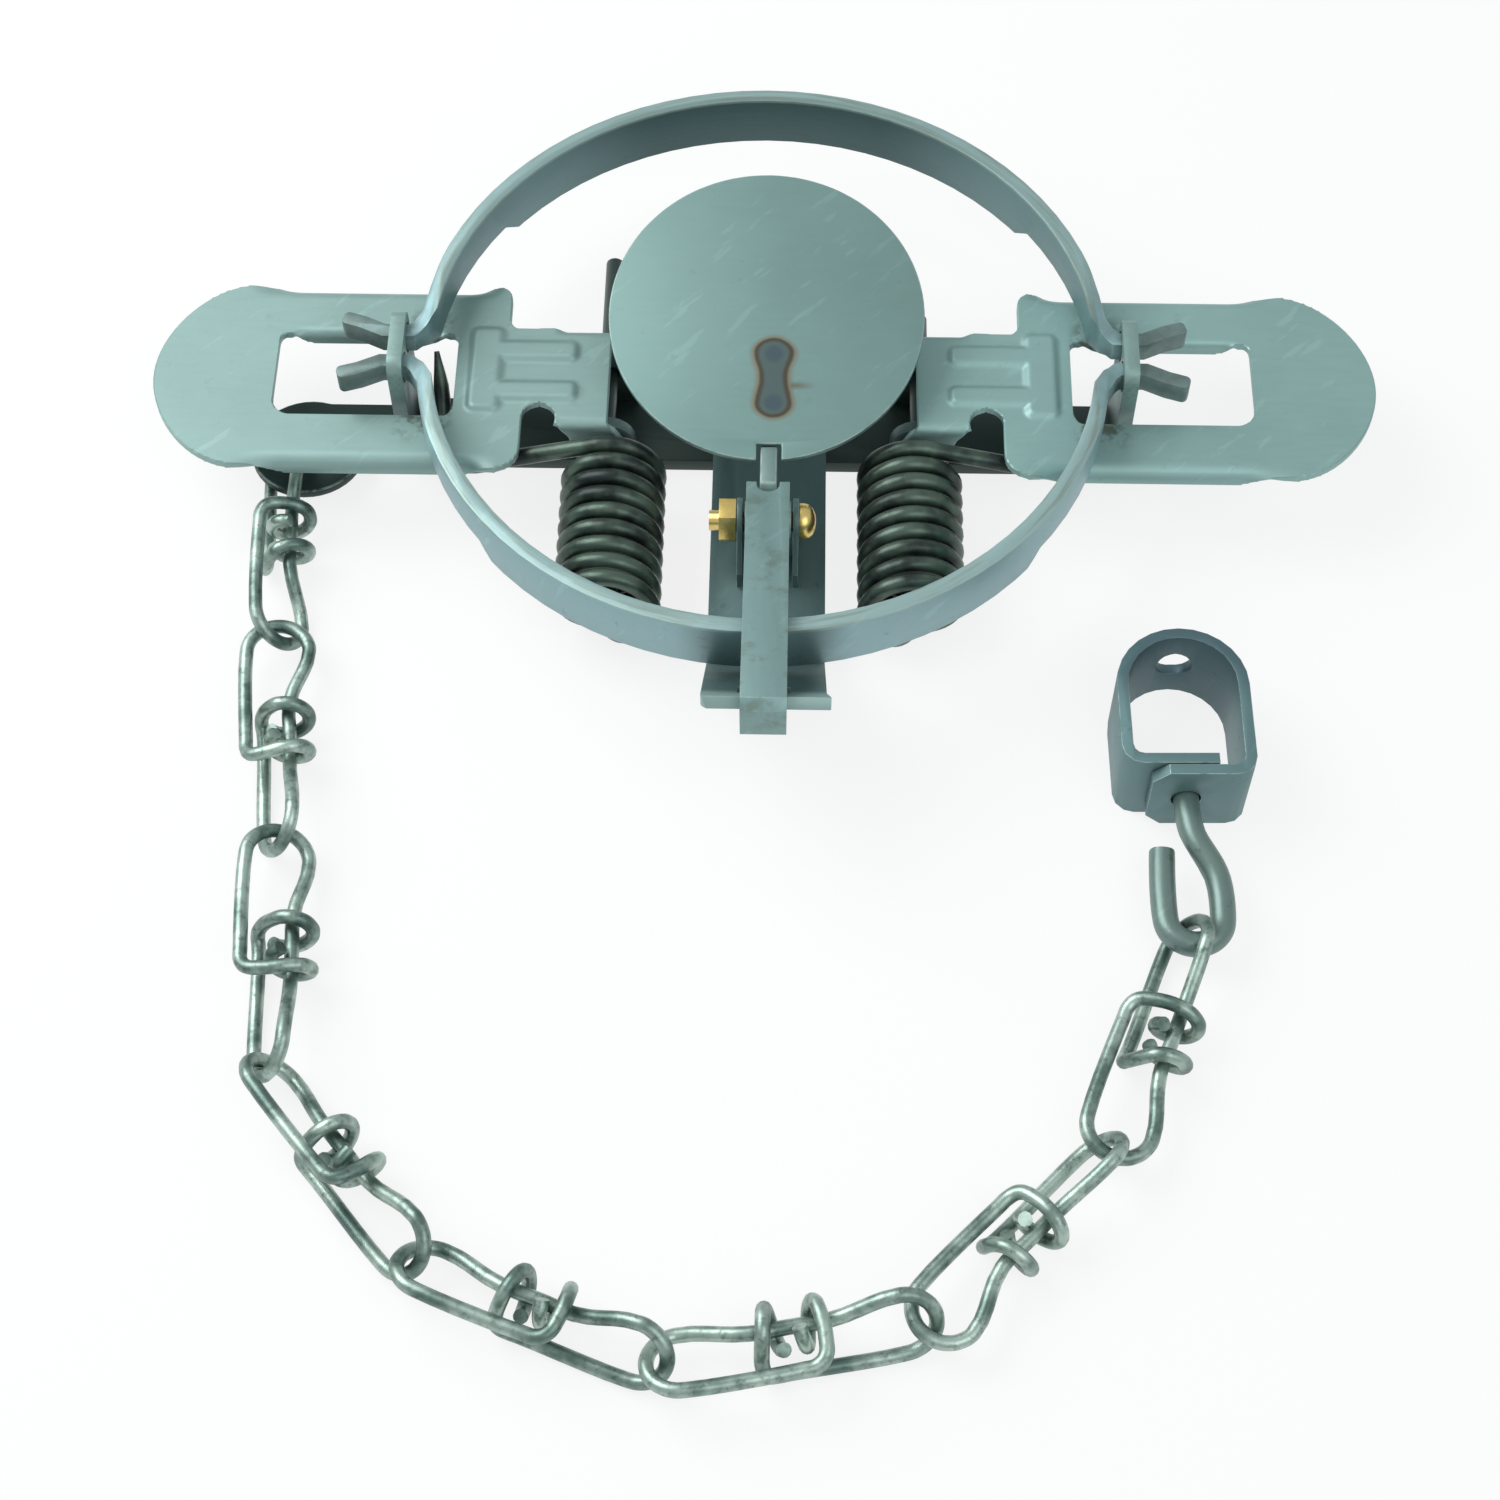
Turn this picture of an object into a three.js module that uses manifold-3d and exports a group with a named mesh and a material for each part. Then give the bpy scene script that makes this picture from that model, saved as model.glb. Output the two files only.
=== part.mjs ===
import * as THREE from 'three';
import { mergeVertices } from 'three/addons/utils/BufferGeometryUtils.js';
import Module from 'manifold-3d';

const wasm = await Module();
wasm.setup();

// Driving dimensions: millimetres, degrees and counts

// Play between pieces
const pieceGap = 0.3;
const seatGap = 0.1;
const cutOverrun = 2;
const degree = Math.PI / 180;
const quarterTurn = Math.PI / 2;

// Base bar with its two upturned jaw posts
const baseWidth = 15.9;
const baseThickness = 3;
const postReach = 75.4;
const postHeight = 32.6;
const postBend = 2.5;
const postCorner = 3;

// Jaws
const jawClearInPost = 2.4;
const jawThickness = 3.2;
const jawPivotHeight = 27.5;
const jawPivotSpread = 3.9;
const jawRise = 4.2;
const jawDrop = 8;
const jawShoulderDrop = 4.8;
const jawShoulderInset = 15;
const jawShoulderRun = 2.4;
const jawNeckHalfHeight = 2.4;
const jawNeckInset = 0.4;
const jawNeckRun = 3.4;
const jawEntry = 9;
const jawTongueLength = 8.6;
const jawTongueFlare = 3.4;

// Levers
const pinReachShare = 0.42838;
const pinHeight = 11.6;
const pinRadius = 1.9;
const leverThickness = 1.8;
const leverTopHeight = 20.6;
const leverTipOutset = 25;
const leverWingWidth = 10.2;
const leverTipLength = 19;
const leverShoulderOutset = 20.2;
const leverShoulderCorner = 2.4;
const leverEarPlay = 0.5;
const leverNeckInset = 0.9;
const leverFlangeDepth = 3;
const windowInset = 12.4;
const windowOutset = 24.6;
const windowHalfWidth = 10.6;
const windowCorner = 5;
const reliefOutset = 13.2;
const reliefRadius = 3.4;
const leverEarRadius = 5.6;

// Base ears that carry the lever pins
const earThickness = 2.4;
const earRadius = 6.2;
const earStep = 0.15;
const leftPinTail = 38.4;
const rightPinTail = 24;
const pinFront = 50;

// Springs
const springWire = 3.5;
const springRadius = 8.95;
const springPitch = 4.1;
const springStandOff = 2.65;
const springTurns = 8;
const springLegSlope = 15;
const springLegShare = 0.7471;
const springInset = 2.2;
const springHookShares = [[6.1, 3.2], [4.6, 1.9], [3.2, 0.75], [1.6, 0], [0.6, 0]];
const springTailRadius = 4.2;
const springTailDrop = 7.7;
const springTailTurn = 78;
const springCurlSteps = 8;
const springSides = 5;
const leastWireGap = 0.4;

// Cross bar
const crossWidthShare = 0.3103;
const crossThickness = 2.4;
const crossOffset = 1.5;
const crossBendInset = 10;
const crossFlare = 0.8;
const crossFlareLength = 4;
const crossCorner = 2.5;
const dogPivotOutset = 17.5;
const dogPivotRise = 3.3;
const lipHalf = 2;
const slotLength = 7;
const slotSideGap = 0.6;

// Pan, its ears, bolt and shank
const boltReach = 32.6;
const boltHeight = 16;
const boltRadius = 2.05;
const boltHeadRadius = 3.7;
const boltHeadHeight = 3.4;
const boltTail = 2;
const nutAcrossFlats = 8.2;
const nutThickness = 3.4;
const panEarSpread = 5.6;
const panEarThickness = 1.1;
const panEarFoot = 9;
const panEarTop = 4.6;
const panRadius = 32;
const panThickness = 1.4;
const panTilt = 13.5;
const panCentreReach = 7.2;
const panCentreHeight = 31.5;
const panNotchWidth = 5;
const panNotchDepth = 3.6;
const panOffset = 0.9;
const shankWidth = 3.4;
const shankBarrelRadius = 4;
const catchReach = 31;
const catchDepth = 4.2;

// Dog
const dogWidth = 8.6;
const dogThickness = 2.4;
const dogEnd = 30.3;
const dogNotchSideGap = 0.6;
const dogNotchDepth = 2.7;
const dogHookInner = 2.8;
const dogHookTail = 4.6;
const dogJawGap = 0.85;

// Rivets
const rivetRadius = 2;
const rivetHeadRadius = 3.6;
const rivetHeadHeight = 1.5;
const rivetFootHeight = 1.2;
const rivetSpreadShare = 0.2778;
const lugRivetInset = 10.4;

// Chain lug
const lugThickness = 2.2;
const lugDiscRadius = 11.9;
const lugDiscOutset = 19.2;
const lugDiscOffset = 7;
const lugNeckHalfWidth = 4.2;
const lugTailInset = 17.4;
const lugHoleOutset = 23.6;
const lugHoleOffset = 7.6;
const lugHoleRadius = 4.7;

// Chain
const linkWire = 2.85;
const linkHalfWidth = 6.15;
const linkPitch = 47.2;
const linkHeight = 6.5;
const linkPlay = 0.7;
const knotHalfLength = 5.3;
const knotGap = 0.7;
const knotPitch = 3.8;
const knotTurn = 315;
const knotSteps = 8;
const knotLeadShares = [[1.057, 0.62, 0.62, 0.35], [0.943, 0.88, 0.3, 0.1], [0.623, 0.98, 0.06, 0], [0.17, 1, 0, 0]];
const waistHalfLength = 7;
const linkSides = 6;
const linkArcSteps = 8;
const linkHeadingAngles = [-85.9, -83.9, -86.3, -50, -21.4, 11.1, 46.5, 69.1];
const linkStartAngles = [55, -4, -22, -52, -32, -22, 4, 8];
const linkEndAngles = [-50, 56, 56, 48, 56, 56, -56, -56];
const linkWaistShares = [0.29, 0.37, 0.57, 0.37, 0.37, 0.49, -0.29, -0.57];
const linkInnerSides = [1, 1, 1, 1, 1, 1, -1, -1];

// Swivel
const eyeWire = 5.2;
const eyeBendRadius = 5.5;
const eyePlay = 0.9;
const eyeProngLength = 14.5;
const eyeNeckStart = 9;
const eyeNeckEnd = 18;
const eyeHeadRadius = 5.4;
const eyeHeadThickness = 2;
const swivelHeading = 91;
const strapFront = 25;
const strapLength = 33;
const strapWidth = 25.4;
const strapThickness = 2.2;
const strapHeight = 18.5;
const strapCorner = 3;
const strapLapReach = 7;
const strapLapChamfer = 4;
const strapHoleRadius = 3.5;

// Colours and finishes
const steelPale = { color: 0x8fa5a1, roughness: 0.45, metalness: 0.75 };
const steelDark = { color: 0x6f8480, roughness: 0.5, metalness: 0.75 };
const springSteel = { color: 0x2d312e, roughness: 0.45, metalness: 0.6 };
const brass = { color: 0xc9a23c, roughness: 0.3, metalness: 0.9 };
const chainSteel = { color: 0x7d938f, roughness: 0.4, metalness: 0.8 };

// Solid helpers

function toSolid(geometry) {
  const bare = geometry.clone();
  bare.deleteAttribute('normal');
  bare.deleteAttribute('uv');
  const merged = mergeVertices(bare);
  return new wasm.Manifold(new wasm.Mesh({
    numProp: 3,
    vertProperties: new Float32Array(merged.attributes.position.array),
    triVerts: new Uint32Array(merged.index.array),
  }));
}

function toGeometry(solid) {
  const mesh = solid.getMesh();
  const geometry = new THREE.BufferGeometry();
  geometry.setAttribute('position', new THREE.BufferAttribute(mesh.vertProperties, 3));
  geometry.setIndex(new THREE.BufferAttribute(mesh.triVerts, 1));
  geometry.computeVertexNormals();
  return geometry;
}

function cut(body, ...tools) {
  return tools.reduce((left, tool) => left.subtract(tool), body);
}

function join(body, ...others) {
  return others.reduce((left, other) => left.add(other), body);
}

// A shape drawn in X and Y, thickened upwards from a height
function flatSolid(shape, thickness, height = 0, curveSegments = 10) {
  const geometry = new THREE.ExtrudeGeometry(shape, { depth: thickness, bevelEnabled: false, curveSegments });
  return toSolid(geometry.translate(0, 0, height));
}

// A shape drawn in Y and Z, thickened across X
function sideSolid(shape, width, centre = 0, curveSegments = 10) {
  const geometry = new THREE.ExtrudeGeometry(shape, { depth: width, bevelEnabled: false, curveSegments });
  geometry.applyMatrix4(new THREE.Matrix4().set(0, 0, 1, 0, 1, 0, 0, 0, 0, 1, 0, 0, 0, 0, 0, 1));
  return toSolid(geometry.translate(centre - width / 2, 0, 0));
}

// A shape drawn in X and Z, thickened across Y
function frontSolid(shape, width, centre = 0, curveSegments = 10) {
  const geometry = new THREE.ExtrudeGeometry(shape, { depth: width, bevelEnabled: false, curveSegments });
  return toSolid(geometry.rotateX(quarterTurn).translate(0, centre + width / 2, 0));
}

function block(sizeX, sizeY, sizeZ, x, y, z) {
  return toSolid(new THREE.BoxGeometry(sizeX, sizeY, sizeZ).translate(x, y, z));
}

function rod(radius, length, axis, x, y, z, sides = 20) {
  const geometry = new THREE.CylinderGeometry(radius, radius, length, sides);
  if (axis === 'x') geometry.rotateZ(-quarterTurn);
  if (axis === 'z') geometry.rotateX(quarterTurn);
  return toSolid(geometry.translate(x, y, z));
}

function polygon(points) {
  return new THREE.Shape(points.map(([x, y]) => new THREE.Vector2(x, y)));
}

// The outline of a strip of even thickness that follows a centre line
function stripOutline(line, thickness) {
  const sideOf = (sign) => line.map((point, i) => {
    const before = line[Math.max(i - 1, 0)];
    const after = line[Math.min(i + 1, line.length - 1)];
    const inward = i > 0 ? point.clone().sub(before).normalize() : after.clone().sub(point).normalize();
    const outward = i < line.length - 1 ? after.clone().sub(point).normalize() : inward;
    const normal = new THREE.Vector2(-inward.y - outward.y, inward.x + outward.x).normalize();
    const stretch = 1 / Math.max(normal.dot(new THREE.Vector2(-inward.y, inward.x)), 0.5);
    return point.clone().addScaledVector(normal, sign * stretch * thickness / 2);
  });
  return new THREE.Shape([...sideOf(-1), ...sideOf(1).reverse()]);
}

// A round wire along a list of points, closed at both ends
function wireGeometry(points, radius, sides) {
  const tangents = points.map((point, i) => {
    const before = points[Math.max(i - 1, 0)];
    const after = points[Math.min(i + 1, points.length - 1)];
    return after.clone().sub(before).normalize();
  });
  const helper = Math.abs(tangents[0].z) < 0.9 ? new THREE.Vector3(0, 0, 1) : new THREE.Vector3(1, 0, 0);
  let normal = helper.cross(tangents[0]).normalize();
  const positions = [];
  points.forEach((point, i) => {
    normal = normal.addScaledVector(tangents[i], -normal.dot(tangents[i])).normalize();
    const side = tangents[i].clone().cross(normal);
    for (let k = 0; k < sides; k += 1) {
      const angle = 2 * Math.PI * k / sides;
      const corner = point.clone()
        .addScaledVector(normal, radius * Math.cos(angle))
        .addScaledVector(side, radius * Math.sin(angle));
      positions.push(corner.x, corner.y, corner.z);
    }
  });
  const last = points.length - 1;
  positions.push(points[0].x, points[0].y, points[0].z, points[last].x, points[last].y, points[last].z);
  const startCentre = points.length * sides;
  const faces = [];
  for (let k = 0; k < sides; k += 1) {
    const next = (k + 1) % sides;
    for (let i = 0; i < last; i += 1) {
      const a = i * sides + k;
      const b = i * sides + next;
      faces.push(a, b, a + sides, b, b + sides, a + sides);
    }
    faces.push(startCentre, next, k);
    faces.push(startCentre + 1, last * sides + k, last * sides + next);
  }
  const geometry = new THREE.BufferGeometry();
  geometry.setAttribute('position', new THREE.Float32BufferAttribute(positions, 3));
  geometry.setIndex(faces);
  geometry.computeVertexNormals();
  return geometry;
}

// The least clear space between parts of one wire that are not next to each other along it
function ownGap(points, diameter) {
  const along = [0];
  for (let i = 1; i < points.length; i += 1) along.push(along[i - 1] + points[i].distanceTo(points[i - 1]));
  const samplesPerStep = 4;
  const segment = new THREE.Line3();
  const sample = new THREE.Vector3();
  const nearest = new THREE.Vector3();
  let least = Infinity;
  for (let i = 0; i < points.length - 1; i += 1) {
    for (let k = 0; k < samplesPerStep; k += 1) {
      const share = k / samplesPerStep;
      sample.lerpVectors(points[i], points[i + 1], share);
      const here = along[i] + (along[i + 1] - along[i]) * share;
      for (let j = 0; j < points.length - 1; j += 1) {
        const apart = j > i ? along[j] - here : here - along[j + 1];
        if (apart < diameter * 2.5) continue;
        segment.set(points[j], points[j + 1]).closestPointToPoint(sample, true, nearest);
        least = Math.min(least, nearest.distanceTo(sample) - diameter);
      }
    }
  }
  return least;
}

// The same shape seen in a mirror across X, still facing outwards
function mirroredAcrossX(geometry) {
  const twin = geometry.clone().scale(-1, 1, 1);
  const index = Array.from(twin.index.array);
  for (let i = 0; i < index.length; i += 3) [index[i], index[i + 1]] = [index[i + 1], index[i]];
  twin.setIndex(index);
  twin.computeVertexNormals();
  return twin;
}

const trap = new THREE.Group();

function place(parent, name, geometry, finish) {
  const mesh = new THREE.Mesh(geometry, new THREE.MeshStandardMaterial(finish));
  mesh.name = name;
  parent.add(mesh);
  return mesh;
}

// Base bar: one strip whose ends turn up as the jaw posts, with four ears for the lever pins

const earInner = baseWidth / 2 + earStep;
const earOuter = earInner + earThickness;
const tailHoleRadius = springWire / 2 + pieceGap;
const postInner = postReach - baseThickness;
const pinReach = postReach * pinReachShare;
const springLegReach = (postReach - pinReach) * springLegShare;
const crossWidth = postReach * crossWidthShare;
const frameRivetSpread = crossWidth * rivetSpreadShare;
const leverNeckHalfWidth = earOuter + leverEarPlay + leverThickness;
const leverHalfWidth = leverNeckHalfWidth + leverWingWidth;
const leverShoulder = pinReach + leverShoulderOutset;
const leverNeckEnd = pinReach - leverNeckInset;
const reliefReach = pinReach + reliefOutset;
const springStart = leverNeckHalfWidth + springStandOff + springWire / 2;
const jawRadius = postInner - jawClearInPost;
const jawShoulderReach = jawRadius - jawShoulderInset;
const jawNeckReach = jawRadius - jawNeckInset;
const windowNear = postReach - windowInset;
const windowFar = postReach + windowOutset;
const leverTip = windowFar + leverTipOutset;
const leverTipStart = leverTip - leverTipLength;
const leverFlangeStart = windowNear - leverFlangeDepth;
const lugRivetReach = postReach - lugRivetInset;
const lugDiscReach = postReach + lugDiscOutset;
const lugTail = postReach - lugTailInset;
const lugHoleReach = postReach + lugHoleOutset;
const dogPivotReach = jawRadius + dogPivotOutset;
const dogPivotHeight = jawPivotHeight + jawRise + dogPivotRise;
const crossBendReach = jawRadius - crossBendInset;
const crossBottom = baseThickness + seatGap;
const crossTop = crossBottom + crossThickness;
const lugBottom = baseThickness + seatGap;
const lugTop = lugBottom + lugThickness;

function barProfile() {
  const outerBend = postBend + baseThickness;
  const shape = new THREE.Shape();
  shape.moveTo(-postReach, postHeight);
  shape.lineTo(-postReach, outerBend);
  shape.absarc(-postReach + outerBend, outerBend, outerBend, Math.PI, 1.5 * Math.PI, false);
  shape.absarc(postReach - outerBend, outerBend, outerBend, 1.5 * Math.PI, 2 * Math.PI, false);
  shape.lineTo(postReach, postHeight);
  shape.lineTo(postInner, postHeight);
  shape.absarc(postInner - postBend, outerBend, postBend, 2 * Math.PI, 1.5 * Math.PI, true);
  shape.absarc(-postInner + postBend, outerBend, postBend, 1.5 * Math.PI, Math.PI, true);
  shape.lineTo(-postInner, postHeight);
  return shape;
}

function postTopCutter(side, end) {
  const half = baseWidth / 2;
  const shape = new THREE.Shape();
  shape.moveTo(end * (half - postCorner), postHeight);
  shape.absarc(end * (half - postCorner), postHeight - postCorner, postCorner,
    quarterTurn, end > 0 ? 0 : Math.PI, end > 0);
  shape.lineTo(end * (half + cutOverrun), postHeight - postCorner);
  shape.lineTo(end * (half + cutOverrun), postHeight + cutOverrun);
  shape.lineTo(end * (half - postCorner), postHeight + cutOverrun);
  return sideSolid(shape, baseThickness + 2 * cutOverrun, side * (postInner + baseThickness / 2), 6);
}

function earSolid(side, end) {
  const middle = end * (earInner + earThickness / 2);
  const outward = pinReach + earRadius;
  const inward = pinReach - earRadius;
  const ear = frontSolid(polygon([
    [side * outward, 0], [side * outward, pinHeight], [side * inward, pinHeight], [side * inward, 0],
  ]), earThickness, middle);
  const foot = block(2 * earRadius, earOuter - baseWidth / 4, baseThickness,
    side * pinReach, end * (earOuter + baseWidth / 4) / 2, baseThickness / 2);
  const round = rod(earRadius, earThickness, 'y', side * pinReach, middle, pinHeight, 24);
  return join(ear, foot, round);
}

function baseBar() {
  let bar = frontSolid(barProfile(), baseWidth, 0, 5);
  for (const side of [-1, 1]) {
    for (const end of [-1, 1]) {
      bar = join(bar, earSolid(side, end));
    }
  }
  const cutters = [];
  const tailHoleLength = earThickness + cutOverrun;
  for (const side of [-1, 1]) {
    cutters.push(rod(pinRadius + pieceGap, 2 * (earOuter + cutOverrun), 'y', side * pinReach, 0, pinHeight));
    cutters.push(rod(tailHoleRadius, tailHoleLength, 'y', side * (pinReach - springInset),
      -earOuter - cutOverrun / 2 + tailHoleLength / 2 - earStep, pinHeight - springTailDrop, 16));
    for (const end of [-1, 1]) {
      cutters.push(postTopCutter(side, end));
      cutters.push(rod(jawHoleRadius, baseThickness + 2 * cutOverrun, 'x',
        side * (postInner + baseThickness / 2), end * jawPivotSpread, jawPivotHeight, 24));
    }
    cutters.push(...rivetCutters(crossOffset + side * frameRivetSpread));
  }
  cutters.push(...rivetCutters(-lugRivetReach));
  const lugSlot = block(2 * baseThickness + 2 * postBend + cutOverrun, 2 * (lugNeckHalfWidth + pieceGap),
    lugThickness + seatGap + pieceGap, -postInner, 0, lugBottom + (lugThickness + pieceGap - seatGap) / 2);
  cutters.push(lugSlot);
  return toGeometry(cut(bar, ...cutters));
}

const jawHoleRadius = Math.hypot(jawThickness / 2, jawNeckHalfHeight) + pieceGap;

function rivetCutters(x) {
  return [
    rod(rivetRadius + pieceGap / 2, baseThickness + 2 * cutOverrun, 'z', x, 0, baseThickness / 2, 16),
    rod(rivetHeadRadius + pieceGap / 2, rivetFootHeight + seatGap + cutOverrun, 'z', x, 0,
      (rivetFootHeight + seatGap - cutOverrun) / 2 + seatGap, 16),
  ];
}

// Solid rivets: a flush foot under the bar and a domed head above the plate that it holds

function rivetGeometry(plateTop) {
  const foot = seatGap;
  const footTop = foot + rivetFootHeight;
  const headBottom = plateTop + seatGap;
  const profile = [
    [0, foot], [rivetHeadRadius, foot], [rivetHeadRadius, footTop], [rivetRadius, footTop],
    [rivetRadius, headBottom], [rivetHeadRadius, headBottom],
  ];
  const domeSteps = 4;
  for (let i = 1; i < domeSteps; i += 1) {
    const angle = quarterTurn * i / domeSteps;
    profile.push([rivetHeadRadius * Math.cos(angle), headBottom + rivetHeadHeight * Math.sin(angle)]);
  }
  profile.push([0, headBottom + rivetHeadHeight]);
  const lathe = new THREE.LatheGeometry(profile.map(([r, z]) => new THREE.Vector2(r, z)), 16);
  return toGeometry(toSolid(lathe.rotateX(quarterTurn)));
}

// Chain lug: a tab riveted on the bar, out through the foot of the left post, with the chain's hole

function chainLug() {
  const middle = lugBottom + lugThickness / 2;
  const through = lugThickness + 2 * cutOverrun;
  const disc = rod(lugDiscRadius, lugThickness, 'z', -lugDiscReach, -lugDiscOffset, middle, 40);
  const neckLength = lugDiscReach - lugTail;
  const neck = block(neckLength, 2 * lugNeckHalfWidth, lugThickness, -lugTail - neckLength / 2, 0, middle);
  const chainHole = rod(lugHoleRadius, through, 'z', -lugHoleReach, -lugHoleOffset, lugBottom, 24);
  const rivetHole = rod(rivetRadius + pieceGap / 2, through, 'z', -lugRivetReach, 0, lugBottom, 16);
  return toGeometry(cut(join(disc, neck), chainHole, rivetHole));
}

// Cross bar: flat over the base bar, then inclined to the lip that the dog hooks round

const inclineStart = new THREE.Vector2(-crossBendReach, crossBottom + crossThickness / 2);
const dogPivot = new THREE.Vector2(-dogPivotReach, dogPivotHeight);
const incline = dogPivot.clone().sub(inclineStart).normalize();

function panEar(side) {
  const reach = boltReach;
  const foot = panEarFoot;
  const top = boltHeight + panEarTop;
  const shape = new THREE.Shape();
  shape.moveTo(-reach - foot, crossBottom + crossThickness / 2);
  shape.lineTo(-reach + foot, crossBottom + crossThickness / 2);
  shape.lineTo(-reach + panEarTop, boltHeight);
  shape.absarc(-reach, top - panEarTop, panEarTop, 0, Math.PI, false);
  shape.lineTo(-reach - foot, crossTop + panEarTop);
  return sideSolid(shape, panEarThickness, side * panEarSpread, 6);
}

function crossBar() {
  const end = dogPivot.clone().addScaledVector(incline, lipHalf);
  const line = [new THREE.Vector2(baseWidth / 2, inclineStart.y), inclineStart, end];
  const half = crossWidth / 2;
  const front = end.x - crossThickness;
  const plan = new THREE.Shape();
  plan.moveTo(-half, baseWidth);
  plan.lineTo(-half, end.x + crossCorner);
  plan.quadraticCurveTo(-half, end.x, -half + crossCorner, front);
  plan.lineTo(half, front);
  plan.quadraticCurveTo(half + crossFlare, front, half + crossFlare, end.x + crossFlareLength / 4);
  plan.lineTo(half, end.x + crossFlareLength);
  plan.lineTo(half, baseWidth);
  const strip = sideSolid(stripOutline(line, crossThickness), crossWidth + 2 * crossFlare);
  let bar = strip.intersect(flatSolid(plan, postHeight + dogPivotHeight, 0, 5));
  bar = join(bar, panEar(-1), panEar(1));
  const slotNear = dogPivot.clone().addScaledVector(incline, -lipHalf);
  const slotFar = slotNear.clone().addScaledVector(incline, -slotLength);
  const slot = sideSolid(stripOutline([slotNear, slotFar], crossThickness + 2 * cutOverrun),
    dogWidth + 2 * slotSideGap);
  const boltHole = rod(boltRadius + pieceGap, 2 * (panEarSpread + cutOverrun), 'x', 0, -boltReach, boltHeight);
  const rivetHoles = [-1, 1].map((side) => rod(rivetRadius + pieceGap / 2, crossThickness + 2 * cutOverrun, 'z',
    side * frameRivetSpread, 0, crossTop, 16));
  return toGeometry(cut(bar, slot, boltHole, ...rivetHoles));
}

// Jaws: a half-round strip on edge, with necks through the posts and flared tongues outside

function jawGeometry() {
  const middle = jawRadius - jawThickness / 2;
  const entryAngle = Math.asin(jawEntry / middle);
  const steps = 36;
  const right = [];
  for (let i = 0; i <= steps / 2; i += 1) {
    const angle = entryAngle + (quarterTurn - entryAngle) * i / (steps / 2);
    right.push(new THREE.Vector2(middle * Math.cos(angle), middle * Math.sin(angle)));
  }
  const neckTurn = jawThickness / 2;
  const tongueStart = postReach + neckTurn;
  const ends = [
    new THREE.Vector2(tongueStart + jawTongueLength, jawPivotSpread + jawTongueFlare),
    new THREE.Vector2(tongueStart + jawTongueLength / 2, jawPivotSpread + jawTongueFlare * 0.6),
    new THREE.Vector2(tongueStart, jawPivotSpread),
    new THREE.Vector2(postInner - pieceGap - neckTurn / 2, jawPivotSpread),
    new THREE.Vector2((postInner - neckTurn + middle) / 2, (jawPivotSpread + jawEntry) / 2 - neckTurn / 2),
  ];
  const half = [...ends, ...right];
  const mirrored = half.slice(0, -1).reverse().map((point) => new THREE.Vector2(-point.x, point.y));
  const plan = stripOutline([...half, ...mirrored], jawThickness);
  const height = jawRise + jawDrop + 2 * cutOverrun;
  const band = flatSolid(plan, height, -jawDrop - cutOverrun);
  const far = postReach + jawTongueLength + 2 * cutOverrun;
  const halfProfile = [
    [jawShoulderReach - jawShoulderRun, -jawDrop],
    [jawShoulderReach, -jawShoulderDrop],
    [jawNeckReach - jawNeckRun, -jawShoulderDrop], [jawNeckReach, -jawNeckHalfHeight], [far, -jawNeckHalfHeight],
    [far, jawNeckHalfHeight], [jawNeckReach, jawNeckHalfHeight], [jawNeckReach - jawNeckRun, jawRise],
  ];
  const otherHalf = [...halfProfile].reverse().map(([x, z]) => [-x, z]);
  const profile = frontSolid(polygon([...halfProfile, ...otherHalf]), 2 * (jawRadius + cutOverrun));
  return toGeometry(band.intersect(profile));
}

// Levers: a pressed plate with a window round the post, and two ears on the pin

function leverPlate() {
  const x = (reach) => reach - pinReach;
  const w = leverHalfWidth;
  const n = leverNeckHalfWidth;
  const r = leverShoulderCorner;
  const shape = new THREE.Shape();
  shape.moveTo(x(leverNeckEnd), -n);
  shape.lineTo(x(reliefReach - reliefRadius), -n);
  shape.absarc(x(reliefReach), -n + r, reliefRadius, Math.PI, 0, true);
  shape.lineTo(x(reliefReach + reliefRadius), -w + 2 * r);
  shape.quadraticCurveTo(x(reliefReach + reliefRadius), -w, x(leverShoulder + r), -w);
  shape.lineTo(x(leverTipStart), -w);
  const bulge = (leverTip - leverTipStart) / 2;
  shape.bezierCurveTo(x(leverTipStart + bulge), -w, x(leverTip), -w / 2, x(leverTip), 0);
  shape.bezierCurveTo(x(leverTip), w / 2, x(leverTipStart + bulge), w, x(leverTipStart), w);
  shape.lineTo(x(leverShoulder + r), w);
  shape.quadraticCurveTo(x(leverShoulder), w, x(leverShoulder), w - r);
  shape.lineTo(x(leverShoulder), n + r);
  shape.quadraticCurveTo(x(leverShoulder), n, x(leverShoulder - r), n);
  shape.lineTo(x(leverNeckEnd), n);
  shape.closePath();
  const c = windowCorner;
  const h = windowHalfWidth;
  const hole = new THREE.Path();
  hole.moveTo(x(windowNear + c / 2), -h);
  hole.quadraticCurveTo(x(windowNear), -h, x(windowNear), -h + c);
  hole.lineTo(x(windowNear), h - c / 2);
  hole.quadraticCurveTo(x(windowNear), h, x(windowNear + c / 2), h);
  hole.lineTo(x(windowFar - c / 2), h);
  hole.quadraticCurveTo(x(windowFar), h, x(windowFar), h - c / 2);
  hole.lineTo(x(windowFar), -h + c);
  hole.quadraticCurveTo(x(windowFar), -h, x(windowFar - c), -h);
  hole.closePath();
  shape.holes.push(hole);
  return flatSolid(shape, leverThickness, leverTopHeight - leverThickness - pinHeight, 8);
}

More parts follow.
